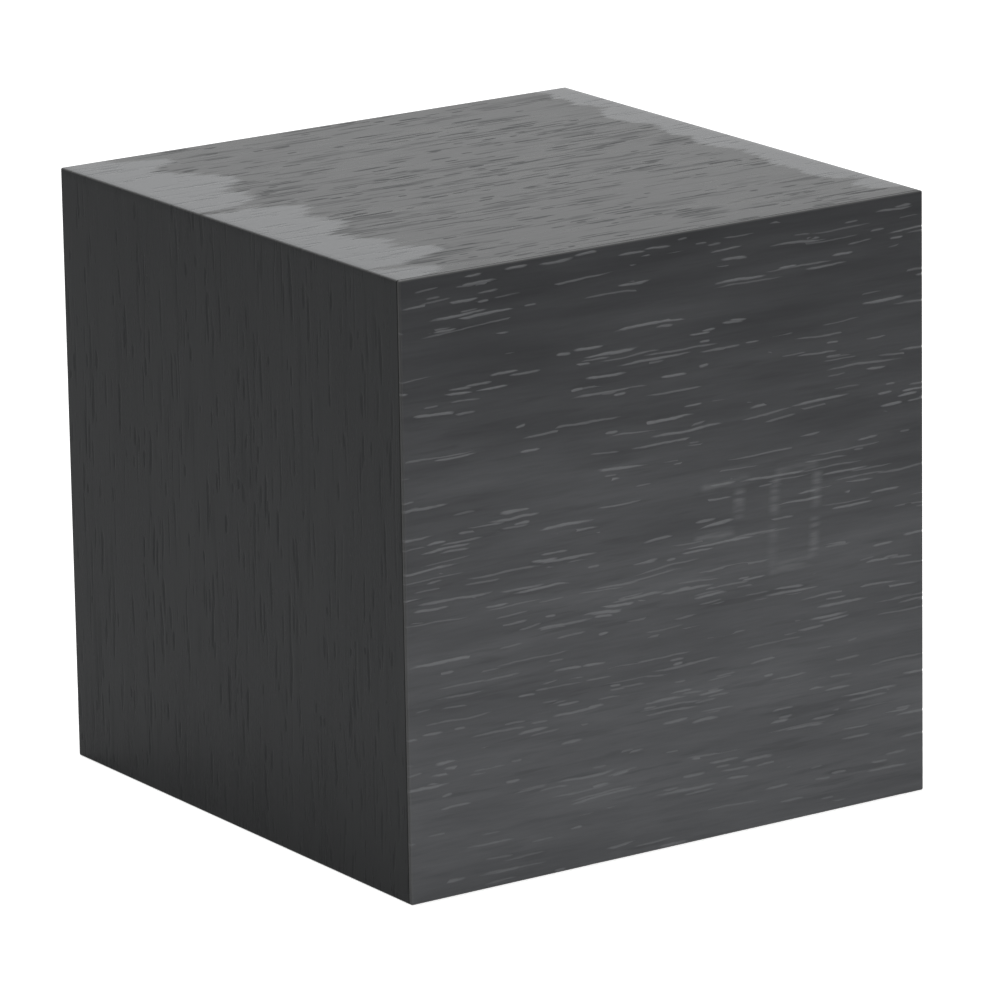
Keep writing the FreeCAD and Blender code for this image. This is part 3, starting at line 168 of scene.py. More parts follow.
def veneer_sheet(name, axes, centre, long_way, cross_way, run, seed, rubbed_and_sheen_ends=()):
    """Closed sheet whose grain runs along its first axis. Its attributes are the grain's place unrolled over the
    rounded edges, where it is skin, where its rounded edges are worn and carry a painted highlight, and how near it
    is to an end whose paler colour is partly sanding and partly painted sheen."""
    u_core, u_tilt, u_inset, u_down = long_way.T[:, :, None]
    v_core, v_tilt, v_inset, v_down = cross_way.T[:, None, :]
    radius = EDGE_ROUND - np.maximum(u_inset, v_inset)
    down = np.maximum(u_down, v_down)
    u = u_core + radius * np.sin(u_tilt) * np.cos(v_tilt)
    v = v_core + radius * np.sin(v_tilt) + 0 * u
    w = radius * np.cos(u_tilt) * np.cos(v_tilt) - EDGE_ROUND
    w = (1 - down) * w - down * SHEET
    mitred = abs(u_tilt).max() < 1
    reach = SIDE / 2 + w if mitred else SIDE
    u = np.clip(u, -reach, reach)
    points = centre + u[..., None] * axes[0] + v[..., None] * axes[1] + w[..., None] * axes[2]
    start, sense = run
    unrolled_u = start + sense * (u_core + EDGE_ROUND * u_tilt) + 0 * u
    unrolled_v = (v_core + EDGE_ROUND * v_tilt) * axes[1][1 if mitred else 2] + 0 * u
    # How near a point is to an end of the sheet that is paler: partly sanding, partly painted sheen.
    rub = 0 * u
    for side, width in rubbed_and_sheen_ends:
        rub = np.maximum(rub, np.clip(1 - (SIDE / 2 - side * u) / width, 0, 1))
    values = {
        "grain": np.stack([unrolled_u, unrolled_v, seed + 0 * u], -1),
        "skin": (down == 0).astype(float),
        "worn": np.maximum(abs(u_tilt), abs(v_tilt)) ** 0.5 + 0 * u,
        "rubbed": rub,
    }
    rows, columns = u.shape
    first = np.arange(rows * columns).reshape(rows, columns)
    quads = np.stack([first[:-1, :-1], first[1:, :-1], first[1:, 1:], first[:-1, 1:]], -1).reshape(-1, 4)
    mesh = bpy.data.meshes.new(name)
    mesh.from_pydata(points.reshape(-1, 3), [], quads.tolist())
    for label, value in values.items():
        kind, field = ("FLOAT_VECTOR", "vector") if value.ndim == 3 else ("FLOAT", "value")
        mesh.attributes.new(label, kind, "POINT").data.foreach_set(field, value.ravel())
    build = welded(mesh, 0.002 * MM)
    middle = build.verts.new(centre - SHEET * axes[2])
    for edge in [e for e in build.edges if e.is_boundary]:
        build.faces.new((*edge.verts, middle))
    close_up(build, mesh)
    return mesh


LATTICE_TURN = 0.6
NOISE_LOW, NOISE_HIGH = 0.2, 0.8


def drift(tree, grain, along, across, shift, low, high, detail=2.0):
    """Slow change from low to high along the grain. Its lattice is turned, so that no rows or columns show, and
    the shift sets one such field apart from the next."""
    scaled = add_node(tree, "VectorMath", grain, (1 / along, 1 / across, 1), (0, 0, shift), operation="MULTIPLY_ADD")
    turned = add_node(tree, "VectorRotate", scaled, Angle=LATTICE_TURN)
    noise = add_node(tree, "TexNoise", turned, Scale=1.0, Detail=detail)
    return add_node(tree, "MapRange", noise, NOISE_LOW, NOISE_HIGH, low, high)


# Long and short pores: length against the cell's, share of the cells that keep theirs, shift of the lattice
PORE_LAYERS = ((1.0, 1.0, 13.7), (0.42, 0.5, 4.9))
HALF_LENGTHS = (0.14, 0.48)  # of a cell
HALF_WIDTHS = (0.17, 0.31)
LOT_STEP = 0.017
DEEP_STEP = LOT_STEP * 0.37


def pore_field(tree, grain, length, pitch, kept):
    """Open pores of the wood, 0 to 1: blunt slits along the grain in loose clusters, long ones and short ones. The
    same nodes press the pores into the sheet and colour them."""
    u, v, seed = add_node(tree, "SeparateXYZ", grain).outputs
    swayed = add_node(tree, "Math", v, drift(tree, grain, 24 * MM, 8 * MM, 3.3, -0.7 * MM, 0.7 * MM))
    swayed = add_node(tree, "Math", swayed, drift(tree, grain, 5 * MM, 2 * MM, 5.7, -0.14 * MM, 0.14 * MM))
    crowd = drift(tree, grain, 20 * MM, 4.5 * MM, 7.7, -0.3, 2.1)
    crowded = add_node(tree, "Math", crowd, kept, operation="MULTIPLY")
    ragged = drift(tree, grain, 1.6 * MM, 0.3 * MM, 11.1, -0.5, 0.5)
    deepest = 0.0
    for shrunk, share, shift in PORE_LAYERS:
        cell_u = add_node(tree, "Math", u, add_node(tree, "Math", length, shrunk, operation="MULTIPLY"),
                          operation="DIVIDE")
        cell_v = add_node(tree, "Math", swayed, pitch, operation="DIVIDE")
        cell = add_node(tree, "CombineXYZ", add_node(tree, "Math", seed, shift, cell_u, operation="MULTIPLY_ADD"),
                        add_node(tree, "Math", seed, shift / 2, cell_v, operation="MULTIPLY_ADD"))
        spread = add_node(tree, "TexVoronoi", cell, Scale=1.0, Randomness=1.0, voronoi_dimensions="2D")
        lot = add_node(tree, "SeparateXYZ", spread.outputs["Color"]).outputs[2]
        long_lot = add_node(tree, "Math", lot, LOT_STEP, operation="PINGPONG")
        deep_lot = add_node(tree, "Math", lot, DEEP_STEP, operation="PINGPONG")
        offset = add_node(tree, "VectorMath", cell, spread.outputs["Position"], operation="SUBTRACT")
        off_u, off_v, _ = add_node(tree, "SeparateXYZ", offset).outputs
        stays = add_node(tree, "Math", lot, add_node(tree, "Math", crowded, share, operation="MULTIPLY"),
                         operation="LESS_THAN")
        half_length = add_node(tree, "MapRange", long_lot, 0, LOT_STEP, *HALF_LENGTHS)
        half_width = add_node(tree, "MapRange", deep_lot, 0, DEEP_STEP, *HALF_WIDTHS)
        parts = []
        for off, half, power in ((off_u, half_length, 4.0), (off_v, half_width, 2.0)):
            part = add_node(tree, "Math", off, half, operation="DIVIDE")
            parts.append(add_node(tree, "Math", part, power, operation="POWER"))
        edge = add_node(tree, "Math", add_node(tree, "Math", *parts), ragged)
        slit = add_node(tree, "MapRange", edge, 1.4, 0.05, interpolation_type="SMOOTHSTEP")
        depth = add_node(tree, "MapRange", deep_lot, 0, DEEP_STEP, 0.45, 1.0)
        for factor in (stays, slit):
            depth = add_node(tree, "Math", depth, factor, operation="MULTIPLY")
        deepest = add_node(tree, "Math", depth, deepest, operation="MAXIMUM")
    return deepest


def start_shaping(name, taken, *numbers):
    """A new Geometry Nodes tree and what it is given: a mesh and named numbers."""
    tree = bpy.data.node_groups.new(name, "GeometryNodeTree")
    tree.interface.new_socket(taken, in_out="INPUT", socket_type="NodeSocketGeometry")
    for label in numbers:
        kind = "Int" if label == "Seed" else "Float"
        tree.interface.new_socket(label, in_out="INPUT", socket_type="NodeSocket" + kind)
    tree.interface.new_socket("Made", in_out="OUTPUT", socket_type="NodeSocketGeometry")
    return tree, add_node(tree, "NodeGroupInput").outputs


def end_shaping(tree, shape, material):
    """Makes the shape one plain mesh in its material and hands the tree back."""
    plain = add_node(tree, "GeometryNodeRealizeInstances", shape)
    add_node(tree, "NodeGroupOutput", add_node(tree, "GeometryNodeSetMaterial", plain, Material=material))
    return tree


def open_pores(material):
    """Geometry Nodes tree that presses the pores into a sheet."""
    tree, given = start_shaping("open_pores", "Sheet", "Pore depth", "Pore length", "Pore pitch", "Share kept")
    grain = add_node(tree, "GeometryNodeInputNamedAttribute", "grain", data_type="FLOAT_VECTOR")
    skin = add_node(tree, "GeometryNodeInputNamedAttribute", "skin", data_type="FLOAT")
    field = pore_field(tree, grain, given["Pore length"], given["Pore pitch"], given["Share kept"])
    inward = -1.0
    for factor in (field, skin, given["Pore depth"]):
        inward = add_node(tree, "Math", factor, inward, operation="MULTIPLY")
    offset = add_node(tree, "VectorMath", add_node(tree, "GeometryNodeInputNormal"), Scale=inward, operation="SCALE")
    return end_shaping(tree, add_node(tree, "GeometryNodeSetPosition", given["Sheet"], Offset=offset), material)


def placed(name, data):
    """A new object in the scene."""
    made = bpy.data.objects.new(name, data)
    bpy.context.scene.collection.objects.link(made)
    return made


def frozen(piece, **options):
    """What an object's modifiers or letters make, as a plain mesh."""
    graph = bpy.context.evaluated_depsgraph_get()
    return bpy.data.meshes.new_from_object(piece.evaluated_get(graph), depsgraph=graph, **options)


def through_nodes(name, mesh, tree, **values):
    """Runs a mesh through a Geometry Nodes tree and returns the result as a plain piece."""
    piece = placed(name, mesh)
    modifier = piece.modifiers.new(tree.name, "NODES")
    modifier.node_group = tree
    sockets = {item.name: item.identifier for item in tree.interface.items_tree if item.in_out == "INPUT"}
    for label, value in values.items():
        modifier[sockets[label.replace("_", " ")]] = value
    made = frozen(piece, preserve_all_data_layers=True)
    piece.modifiers.remove(modifier)
    piece.data = made
    made.name = name
    return piece


def settle(piece, body, slot, *replaced, sharp=40):
    """Smooth shading up to an angle, unless it is there already; then the piece is hung on its body's empty and the
    CAD nodes it replaces are hidden.
    """
    if sharp:
        piece.data.shade_smooth()
        piece.data.set_sharp_from_angle(angle=math.radians(sharp))
    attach(piece, body)
    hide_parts(*replaced)


def veneer_figure(tree, grain):
    """The stained wood's own figure: fine fleck, slow bands a few millimetres wide, and soft streaks where the pores
    crowd, each 0 to 1."""
    fleck = drift(tree, grain, 4 * MM, 0.35 * MM, 17.3, 0, 1, 3.0)
    narrow = drift(tree, grain, 30 * MM, 2.6 * MM, 21.9, 0, 0.5, 3.0)
    wide = drift(tree, grain, 40 * MM, 12 * MM, 27.1, 0, 0.5)
    smudge = drift(tree, grain, 11 * MM, 0.9 * MM, 41.3, -2.6, 1.9, 3.0)
    crowd = drift(tree, grain, 20 * MM, 4.5 * MM, 7.7, 0.0, 2.0)
    streaks = add_node(tree, "Math", smudge, crowd, operation="MULTIPLY", use_clamp=True)
    return fleck, add_node(tree, "Math", narrow, wide), streaks


def toned(tree, colour, layers):
    """Lays tones over a colour, each where its own field is and as strongly as given."""
    for field, strength, tone in layers:
        share = add_node(tree, "Math", field, strength, operation="MULTIPLY")
        colour = add_node(tree, "MixRGB", share, colour, tone)
    return colour


def lacquered(tree, colour, gloss, fleck, pores, depth, **sheen):
    """Ends an oak finish: the lacquer follows the fleck and sinks into the pores."""
    sunk = add_node(tree, "Math", pores, -1.0, operation="MULTIPLY")
    height = add_node(tree, "Math", fleck, -0.3, sunk, operation="MULTIPLY_ADD")
    relief = add_node(tree, "Bump", Height=height, Distance=depth)
    shader = add_node(tree, "BsdfPrincipled", colour, Roughness=gloss, IOR=1.47, Normal=relief, **sheen)
    add_node(tree, "OutputMaterial", shader)


# Each pore lies in a cell of its own, which is larger
SLEEVE_CELL = dict(Pore_length=9 * MM, Pore_pitch=0.95 * MM, Share_kept=0.36)


def stained_oak_sleeve():
    # Oak veneer under black stain and satin lacquer: dull charcoal from in front, with a sheen at a low view. The
    # pores are matt, so they show as soft dark dashes in the sheen; their darker colour is partly stain, partly
    # painted shade. Sanding has left the ends of the top ragged, paler and smoother, and their paler colour is partly
    # painted sheen. A dark line where the front sheet begins is partly glue, partly painted shade in the seam. Rounded
    # edges are paler, partly worn and partly a painted highlight.
    material, tree, place = start_finish("stained_oak_sleeve")
    grain, worn, rubbed = [add_node(tree, "Attribute", attribute_name=label).outputs[socket]
                           for label, socket in (("grain", "Vector"), ("worn", "Fac"), ("rubbed", "Fac"))]
    pores = pore_field(tree, grain, *SLEEVE_CELL.values())
    fleck, bands, streaks = veneer_figure(tree, grain)
    # Paler, glossier ragged bands at the top sheet's two ends, fading towards the front: partly stain sanded through,
    # partly painted sheen.
    lobes = drift(tree, grain, 40 * MM, 8 * MM, 31.7, -0.75, 0.75, 1.0)
    torn = drift(tree, grain, 6 * MM, 0.9 * MM, 33.1, -0.3, 0.3, 4.0)
    along_y = add_node(tree, "SeparateXYZ", place).outputs["Y"]
    less_near_front = add_node(tree, "MapRange", along_y, -SIDE / 2, -SIDE / 4, 0.5, 1.0)
    reach = add_node(tree, "Math", less_near_front, add_node(tree, "Math", lobes, torn))
    bare = add_node(tree, "MapRange", add_node(tree, "Math", rubbed, reach, operation="MULTIPLY"), 0.42, 0.52)
    # The pores and streaks go matt, and their colour darkens: partly stain held in them, partly painted shade where
    # the sheen is missing.
    matt_and_shaded = add_node(tree, "Math", streaks, 0.5, operation="MULTIPLY")
    matt_and_shaded = add_node(tree, "Math", pores, matt_and_shaded, operation="MAXIMUM")
    matt_and_shaded = add_node(tree, "Math", matt_and_shaded, add_node(tree, "MapRange", bare, 0, 1, 1, 0.3), operation="MULTIPLY")
    ground_tone = add_node(tree, "MixRGB", bands, "#262727", "#343535")
    # A dark line on the sleeve where the front sheet begins: partly glue, partly painted shade in the seam.
    glue_and_seam_shade = add_node(tree, "MapRange", along_y, SHEET + GLUE_AND_SEAM_SHADE_LINE - SIDE / 2, SHEET + GLUE_AND_SEAM_SHADE_LINE * 0.6 - SIDE / 2)
    # Rounded edges paler: partly stain worn off, partly a painted highlight along the round.
    colour = toned(tree, ground_tone, ((fleck, 0.35, "#282929"), (matt_and_shaded, 0.25, "#191a1a"), (bare, 0.75, "#545658"),
                                 (worn, 0.3, "#605e5a"), (glue_and_seam_shade, 1.0, "#161713")))
    gloss = add_node(tree, "MapRange", add_node(tree, "Math", fleck, bands), 0.4, 1.6, 0.25, 0.32)
    gloss = add_node(tree, "MapRange", bare, 0, 1, gloss, 0.2)
    gloss = add_node(tree, "MapRange", matt_and_shaded, 0, 1, gloss, 0.56)
    lacquered(tree, colour, gloss, fleck, pores, 0.014 * MM, Specular_IOR_Level=0.207, Specular_Tint="#ebf1fb")
    return material


SLEEVE_PORES = open_pores(stained_oak_sleeve())
X, Y, Z = (np.array(axis, float) for axis in ((1, 0, 0), (0, 1, 0), (0, 0, 1)))
MIDDLE = Z * SIDE / 2
FRONT_END = SIDE / 2 - SHEET
round_the_cube = stations_across("mitre", -SIDE / 2, "mitre", SIDE / 2, ALONG_SLEEVE)
front_first = stations_across("butt", -FRONT_END, "round", SIDE / 2, ACROSS_SLEEVE)
front_last = stations_across("round", -SIDE / 2, "butt", FRONT_END, ACROSS_SLEEVE)
SLEEVE = {
    "left": ((Z, Y, -X), front_first, (0.5 * SIDE, 1), ()),
    "top": ((X, Y, Z), front_first, (1.5 * SIDE, 1), ((-1, 20 * MM), (1, 10 * MM))),
    "right": ((Z, -Y, X), front_last, (2.5 * SIDE, -1), ()),
    "bottom": ((X, -Y, -Z), front_last, (3.5 * SIDE, -1), ()),
}
for side, (axes, cross_way, run, rubbed_and_sheen_ends) in SLEEVE.items():
    centre = MIDDLE + axes[2] * SIDE / 2
    mesh = veneer_sheet("veneer_" + side, axes, centre, round_the_cube, cross_way, run, 1.0, rubbed_and_sheen_ends)
    sheet = through_nodes("sleeve_veneer_" + side, mesh, SLEEVE_PORES, Pore_depth=0.01 * MM, **SLEEVE_CELL)
    settle(sheet, "case", "stained_veneer", "veneer_" + side)

# ---- Front board and corner blocks -----------
# A fibreboard square with a milled window for the display, and four softwood blocks glued into the back corners
# for the cover screws.

coat(FIBREBOARD, "front_board")


def planed_pine():
    # Planed softwood: pale, with darker late-wood lines a millimetre or two apart along the block.
    material, tree, place = start_finish("planed_pine")
    stretched = add_node(tree, "Mapping", place, Scale=(1.0, 0.06, 1.0))
    rings = add_node(tree, "TexWave", stretched, Scale=120.0, Distortion=3.0, Detail=2.0, wave_profile="SAW")
    fibres = add_node(tree, "TexNoise", stretched, Scale=1 / (0.3 * MM))
    colour = add_node(tree, "MixRGB", rings.outputs["Fac"], "#cfa772", "#a87540")
    relief = add_node(tree, "Bump", Height=fibres, Distance=0.03 * MM)
    add_node(tree, "OutputMaterial", add_node(tree, "BsdfPrincipled", colour, Roughness=0.6, Normal=relief))
    return material


coat(planed_pine(), "corner_block_low_left", "corner_block_high_left", "corner_block_low_right",
     "corner_block_high_right")

# ---- Display module --------------------------
# A milky acrylic plate over a white moulded housing, whose seven-segment wells hold clear light pipes. The lamps
# sit behind them on a small green board with two rows of pins.


def moulded_plastic(name, dark, light, roughness, spark, depth):
    # Injection-moulded plastic: even colour with the faint sparkle of an eroded mould.
    material, tree, place = start_finish(name)
    grit = add_node(tree, "TexNoise", place, Scale=1 / spark)
    colour = add_node(tree, "MixRGB", grit, dark, light)
    gloss = add_node(tree, "MapRange", grit, 0, 1, roughness - 0.06, roughness + 0.06)
    relief = add_node(tree, "Bump", Height=grit, Distance=depth)
    add_node(tree, "OutputMaterial", add_node(tree, "BsdfPrincipled", colour, Roughness=gloss, Normal=relief))
    return material


def solder_mask():
    # Circuit board: green lacquer over copper tracks, which show as slightly lighter lines that turn square corners.
    material, tree, place = start_finish("solder_mask")
    runs = add_node(tree, "TexVoronoi", place, Scale=1 / (3.2 * MM), distance="MANHATTAN").outputs["Distance"]
    wave = add_node(tree, "Math", add_node(tree, "Math", runs, 7.0, operation="MULTIPLY"), operation="FRACT")
    track = add_node(tree, "Math", wave, 0.55, operation="GREATER_THAN")
    colour = add_node(tree, "MixRGB", track, "#0b4a26", "#136b39")
    relief = add_node(tree, "Bump", Height=track, Distance=0.035 * MM)
    add_node(tree, "OutputMaterial", add_node(tree, "BsdfPrincipled", colour, Roughness=0.28, Normal=relief))
    return material


def milky_acrylic():
    # Cast acrylic with a white filler: it glows softly where light passes and hides the wells behind it.
    material, tree, place = start_finish("milky_acrylic")
    cloud = add_node(tree, "TexNoise", place, Scale=1 / (3 * MM))
    colour = add_node(tree, "MixRGB", cloud, "#dcdedd", "#eceeed")
    gloss = add_node(tree, "MapRange", cloud, 0, 1, 0.18, 0.3)
    shader = add_node(tree, "BsdfPrincipled", colour, Roughness=gloss, IOR=1.49, Transmission_Weight=0.35)
    add_node(tree, "OutputMaterial", shader)
    return material


WHITE_ABS = moulded_plastic("moulded_white_abs", "#d4d3cd", "#e2e1dc", 0.5, 0.25 * MM, 0.01 * MM)
GREEN_BOARD = solder_mask()
ACRYLIC = milky_acrylic()
coat(ACRYLIC, "window_plate", "display_segments")
coat(WHITE_ABS, "display_housing", "board_spacers")
coat(GREEN_BOARD, "display_substrate", "main_board", "rear_board")
coat(moulded_plastic("phosphor_gel", "#e0cf6a", "#f2e391", 0.25, 0.2 * MM, 0.005 * MM), "display_leds")


def plated_steel(name, dark, light, roughness, scratch):
    # Plated steel: a soft metal shine with short drawing marks.
    material, tree, place = start_finish(name)
    drawn = add_node(tree, "Mapping", place, Scale=(1.0, 1.0, 0.08))
    marks = add_node(tree, "TexNoise", drawn, Scale=1 / scratch, Detail=4.0)
    colour = add_node(tree, "MixRGB", marks, dark, light)
    gloss = add_node(tree, "MapRange", marks, 0, 1, roughness - 0.08, roughness + 0.1)
    relief = add_node(tree, "Bump", Height=marks, Distance=0.004 * MM)
    shader = add_node(tree, "BsdfPrincipled", colour, Metallic=1.0, Roughness=gloss, Normal=relief)
    add_node(tree, "OutputMaterial", shader)
    return material


TINNED = plated_steel("tinned_steel", "#b9b8b2", "#d0cfca", 0.32, 0.2 * MM)
coat(TINNED, "display_pins")

# ---- Main board ------------------------------
# The clock's board on four spacers behind the display, with its chip, crystal can, two capacitors, microphone
# capsule and the coin cell in its holder. Four cross-head screws go through the spacers into the front board.

EPOXY_TONES = "#161617", "#242425"
NYLON_TONES = "#1d1d1f", "#29292b"
CAN_TONES = "#c2c4c6", "#dadbdc"
ZINC = plated_steel("zinc_plated_steel", "#9fa2a6", "#c3c5c8", 0.3, 0.25 * MM)
NICKEL = plated_steel("nickel_plated_steel", "#b7b3a8", "#d3cfc6", 0.22, 0.3 * MM)
ALUMINIUM = plated_steel("drawn_aluminium", *CAN_TONES, 0.28, 0.35 * MM)
EPOXY = moulded_plastic("moulded_epoxy", *EPOXY_TONES, 0.55, 0.12 * MM, 0.008 * MM)
NYLON = moulded_plastic("moulded_nylon", *NYLON_TONES, 0.42, 0.3 * MM, 0.006 * MM)
CHIP_HALF = 3.75 * MM
CAN_BASE, CAN_CROWN = -27.1 * MM, -20.7 * MM
MOON_EDGE = 34.6 * MM


def packaged_chip():
    # Moulded epoxy with tinned legs along both long sides: matt black between two rows of pale metal.
    material, tree, place = start_finish("epoxy_with_tinned_legs")
    grit = add_node(tree, "TexNoise", place, Scale=1 / (0.12 * MM))
    _, _, z = add_node(tree, "SeparateXYZ", place).outputs
    off = add_node(tree, "Math", add_node(tree, "Math", z, -SIDE / 2), operation="ABSOLUTE")
    leg = add_node(tree, "Math", off, CHIP_HALF, operation="GREATER_THAN")
    body = add_node(tree, "MixRGB", grit, *EPOXY_TONES)
    colour = add_node(tree, "MixRGB", leg, body, "#c4c3be")
    gloss = add_node(tree, "MapRange", leg, 0, 1, 0.55, 0.3)
    relief = add_node(tree, "Bump", Height=grit, Distance=0.008 * MM)
    shader = add_node(tree, "BsdfPrincipled", colour, Metallic=leg, Roughness=gloss, Normal=relief)
    add_node(tree, "OutputMaterial", shader)
    return material


def capped_can():
    # Capacitor: a drawn aluminium can over a black moulded base, with a black half-moon on top for the minus leg.
    material, tree, place = start_finish("aluminium_can_on_base")
    marks = add_node(tree, "TexNoise", place, Scale=1 / (0.35 * MM), Detail=4.0)
    _, y, z = add_node(tree, "SeparateXYZ", place).outputs
    base = add_node(tree, "Math", y, CAN_BASE, operation="LESS_THAN")
    crown = add_node(tree, "Math", y, CAN_CROWN, operation="GREATER_THAN")
    moon = add_node(tree, "Math", z, MOON_EDGE, operation="LESS_THAN")
    moon = add_node(tree, "Math", moon, crown, operation="MULTIPLY")
    dark = add_node(tree, "Math", base, moon, operation="MAXIMUM")
    metal = add_node(tree, "MixRGB", marks, *CAN_TONES)
    colour = add_node(tree, "MixRGB", dark, metal, "#1a1a1b")
    bare = add_node(tree, "Math", 1.0, dark, operation="SUBTRACT")
    gloss = add_node(tree, "MapRange", bare, 0, 1, 0.5, 0.28)
    add_node(tree, "OutputMaterial", add_node(tree, "BsdfPrincipled", colour, Metallic=bare, Roughness=gloss))
    return material


coat(packaged_chip(), "controller_chip")
coat(capped_can(), "capacitors")
coat(ALUMINIUM, "crystal", "sound_sensor")
coat(NYLON, "coin_cell_holder")
coat(NICKEL, "coin_cell", "coin_cell_clip")


def loose_boxes(node):
    """Lowest and highest corners of the separate solids in a CAD node."""
    build = welded(NODES[node].data)
    left, boxes = set(build.verts), []
    while left:
        queue, group = [left.pop()], []
        while queue:
            vert = queue.pop()
            group.append(tuple(vert.co))
            near = {edge.other_vert(vert) for edge in vert.link_edges} & left
            left -= near
            queue.extend(near)
        boxes.append((np.min(group, axis=0), np.max(group, axis=0)))
    build.free()
    return sorted(boxes, key=lambda box: tuple(box[0]))


SCREW_SIDES = 32
HEAD_BANDS = 6
SHANK_BANDS = 26
HEAD_DRAWN_IN, HEAD_CURVE = 0.32, 2.6  # how much narrower the head is on top, and how late it turns in
SLOT_SHARES = (("Head width", 0.54), ("Head width", 0.13), ("Head rise", 1.2))
THREAD_PITCH = 0.8 * MM


def cross_head_screws(material):
    """Geometry Nodes tree: a pan-head screw with a cross recess and thread, set on each point, heads towards +Y."""
    tree, given = start_shaping("cross_head_screws", "Seats", "Head width", "Head rise", "Shank width",
                                "Shank length", "Seed")
    head_radius, shank_radius = [add_node(tree, "Math", given[label], 0.5, operation="MULTIPLY")
                                 for label in ("Head width", "Shank width")]
    place = add_node(tree, "GeometryNodeInputPosition")
    height = add_node(tree, "SeparateXYZ", place).outputs[2]

    def squeezed(solid, factor, lift):
        """Draws each level of a turned solid in by a factor, then lifts it."""
        drawn = add_node(tree, "VectorMath", place, add_node(tree, "CombineXYZ", factor, factor, 1.0),
                         add_node(tree, "CombineXYZ", 0.0, 0.0, lift), operation="MULTIPLY_ADD")
        return add_node(tree, "GeometryNodeSetPosition", solid, Position=drawn)

    pan = add_node(tree, "GeometryNodeMeshCylinder", Vertices=SCREW_SIDES, Side_Segments=HEAD_BANDS,
                   Radius=head_radius, Depth=given["Head rise"])
    share = add_node(tree, "Math", add_node(tree, "Math", height, given["Head rise"], operation="DIVIDE"), 0.5)
    steep = add_node(tree, "Math", share, HEAD_CURVE, operation="POWER")
    steep = add_node(tree, "Math", steep, -HEAD_DRAWN_IN, 1.0, operation="MULTIPLY_ADD")
    head = squeezed(pan, steep, add_node(tree, "Math", given["Head rise"], 0.5, operation="MULTIPLY"))
    slot_long, slot_wide, slot_deep = [add_node(tree, "Math", given[label], share, operation="MULTIPLY")
                                       for label, share in SLOT_SHARES]
    raise_by = add_node(tree, "CombineXYZ", 0.0, 0.0, given["Head rise"])
    bars = []
    for sizes in ((slot_long, slot_wide, slot_deep), (slot_wide, slot_long, slot_deep)):
        bar = add_node(tree, "GeometryNodeMeshCube", add_node(tree, "CombineXYZ", *sizes))
        bars.append(add_node(tree, "GeometryNodeTransform", bar, Translation=raise_by))
    cross = add_node(tree, "GeometryNodeMeshBoolean", Mesh_2=bars, operation="UNION", solver="EXACT")
    cut = add_node(tree, "GeometryNodeMeshBoolean", head, cross, operation="DIFFERENCE", solver="EXACT")
    rod = add_node(tree, "GeometryNodeMeshCylinder", Vertices=SCREW_SIDES, Side_Segments=SHANK_BANDS,
                   Radius=shank_radius, Depth=given["Shank length"])
    crest = add_node(tree, "Math", height, THREAD_PITCH / 2, operation="PINGPONG")
    thread = add_node(tree, "MapRange", crest, 0, THREAD_PITCH / 2, 0.8, 0.99)
    tip = add_node(tree, "MapRange", add_node(tree, "Math", height, given["Shank length"], operation="DIVIDE"),
                   -0.5, -0.32, 0.35, 1.0)
    shank = squeezed(rod, add_node(tree, "Math", thread, tip, operation="MULTIPLY"),
                     add_node(tree, "Math", given["Shank length"], -0.498, operation="MULTIPLY"))
    whole = add_node(tree, "GeometryNodeJoinGeometry", [cut, shank])
    spin = add_node(tree, "FunctionNodeRandomValue", Seed=given["Seed"], data_type="FLOAT")
    spun = add_node(tree, "MapRange", spin.outputs[1], 0, 1, 0, math.pi)
    turn = add_node(tree, "CombineXYZ", -math.pi / 2, spun, 0.0)
    set_in = add_node(tree, "GeometryNodeInstanceOnPoints", given["Seats"], Instance=whole, Rotation=turn)
    return end_shaping(tree, set_in, material)


CROSS_HEAD_SCREWS = cross_head_screws(ZINC)


def fasten(name, node, head_rise, shank_width, seed):
    """Sets screws where a CAD node has them, from the sizes of its own solids."""
    boxes = loose_boxes(node)
    seats = [((low[0] + high[0]) / 2, high[1] - head_rise, (low[2] + high[2]) / 2) for low, high in boxes]
    low, high = boxes[0]
    points = bpy.data.meshes.new(name)
    points.from_pydata(seats, [], [])
    screws = through_nodes(name, points, CROSS_HEAD_SCREWS, Head_width=high[0] - low[0], Head_rise=head_rise,
                           Shank_width=shank_width, Shank_length=high[1] - low[1] - head_rise, Seed=seed)
    settle(screws, "case", "zinc_steel", node, sharp=30)


SCREW_HEAD_RISE = 1.4 * MM
SCREW_SHANK = 2.4 * MM
fasten("board_screw_set", "board_screws", SCREW_HEAD_RISE, SCREW_SHANK, 4)

# ---- Front veneer ----------------------------
# The last sheet, glued over the whole front with its grain lying sideways and its edges sanded round. The display's
# glow through it is painted: a faint paler ghost of its segments in the sheet's colour.

ACROSS_FRONT = 0.14 * MM
ALONG_FRONT = 0.8 * MM
FRONT_CELL = dict(Pore_length=12 * MM, Pore_pitch=0.64 * MM, Share_kept=0.24)
# Painted glow: bars of the display's segments, painted paler into the front veneer's colour in place of light shining
# through it.
PAINTED_GLOW_LEAN = 0.065
PAINTED_GLOW_BLUR, PAINTED_GLOW_CORE = 0.5, 0.4  # how far a bar fades outwards and inwards, in millimetres
PAINTED_GLOW_BARS = [  # middle x, middle z, half width, half height in millimetres, strength
    (19.4, 46.7, 3.2, 0.7, 0.7), (19.2, 34.1, 3.3, 0.7, 0.8), (16.1, 43.5, 0.6, 2.4, 0.9), (16.1, 37.3, 0.6, 2.4, 0.5),
    (22.7, 43.5, 0.6, 2.4, 0.9), (22.7, 37.3, 0.6, 2.6, 1.0), (8.2, 46.5, 3.6, 0.6, 0.7), (10.5, 43.6, 0.7, 1.8, 1.2),
    (6.8, 39.9, 3.0, 0.6, 0.9),
]


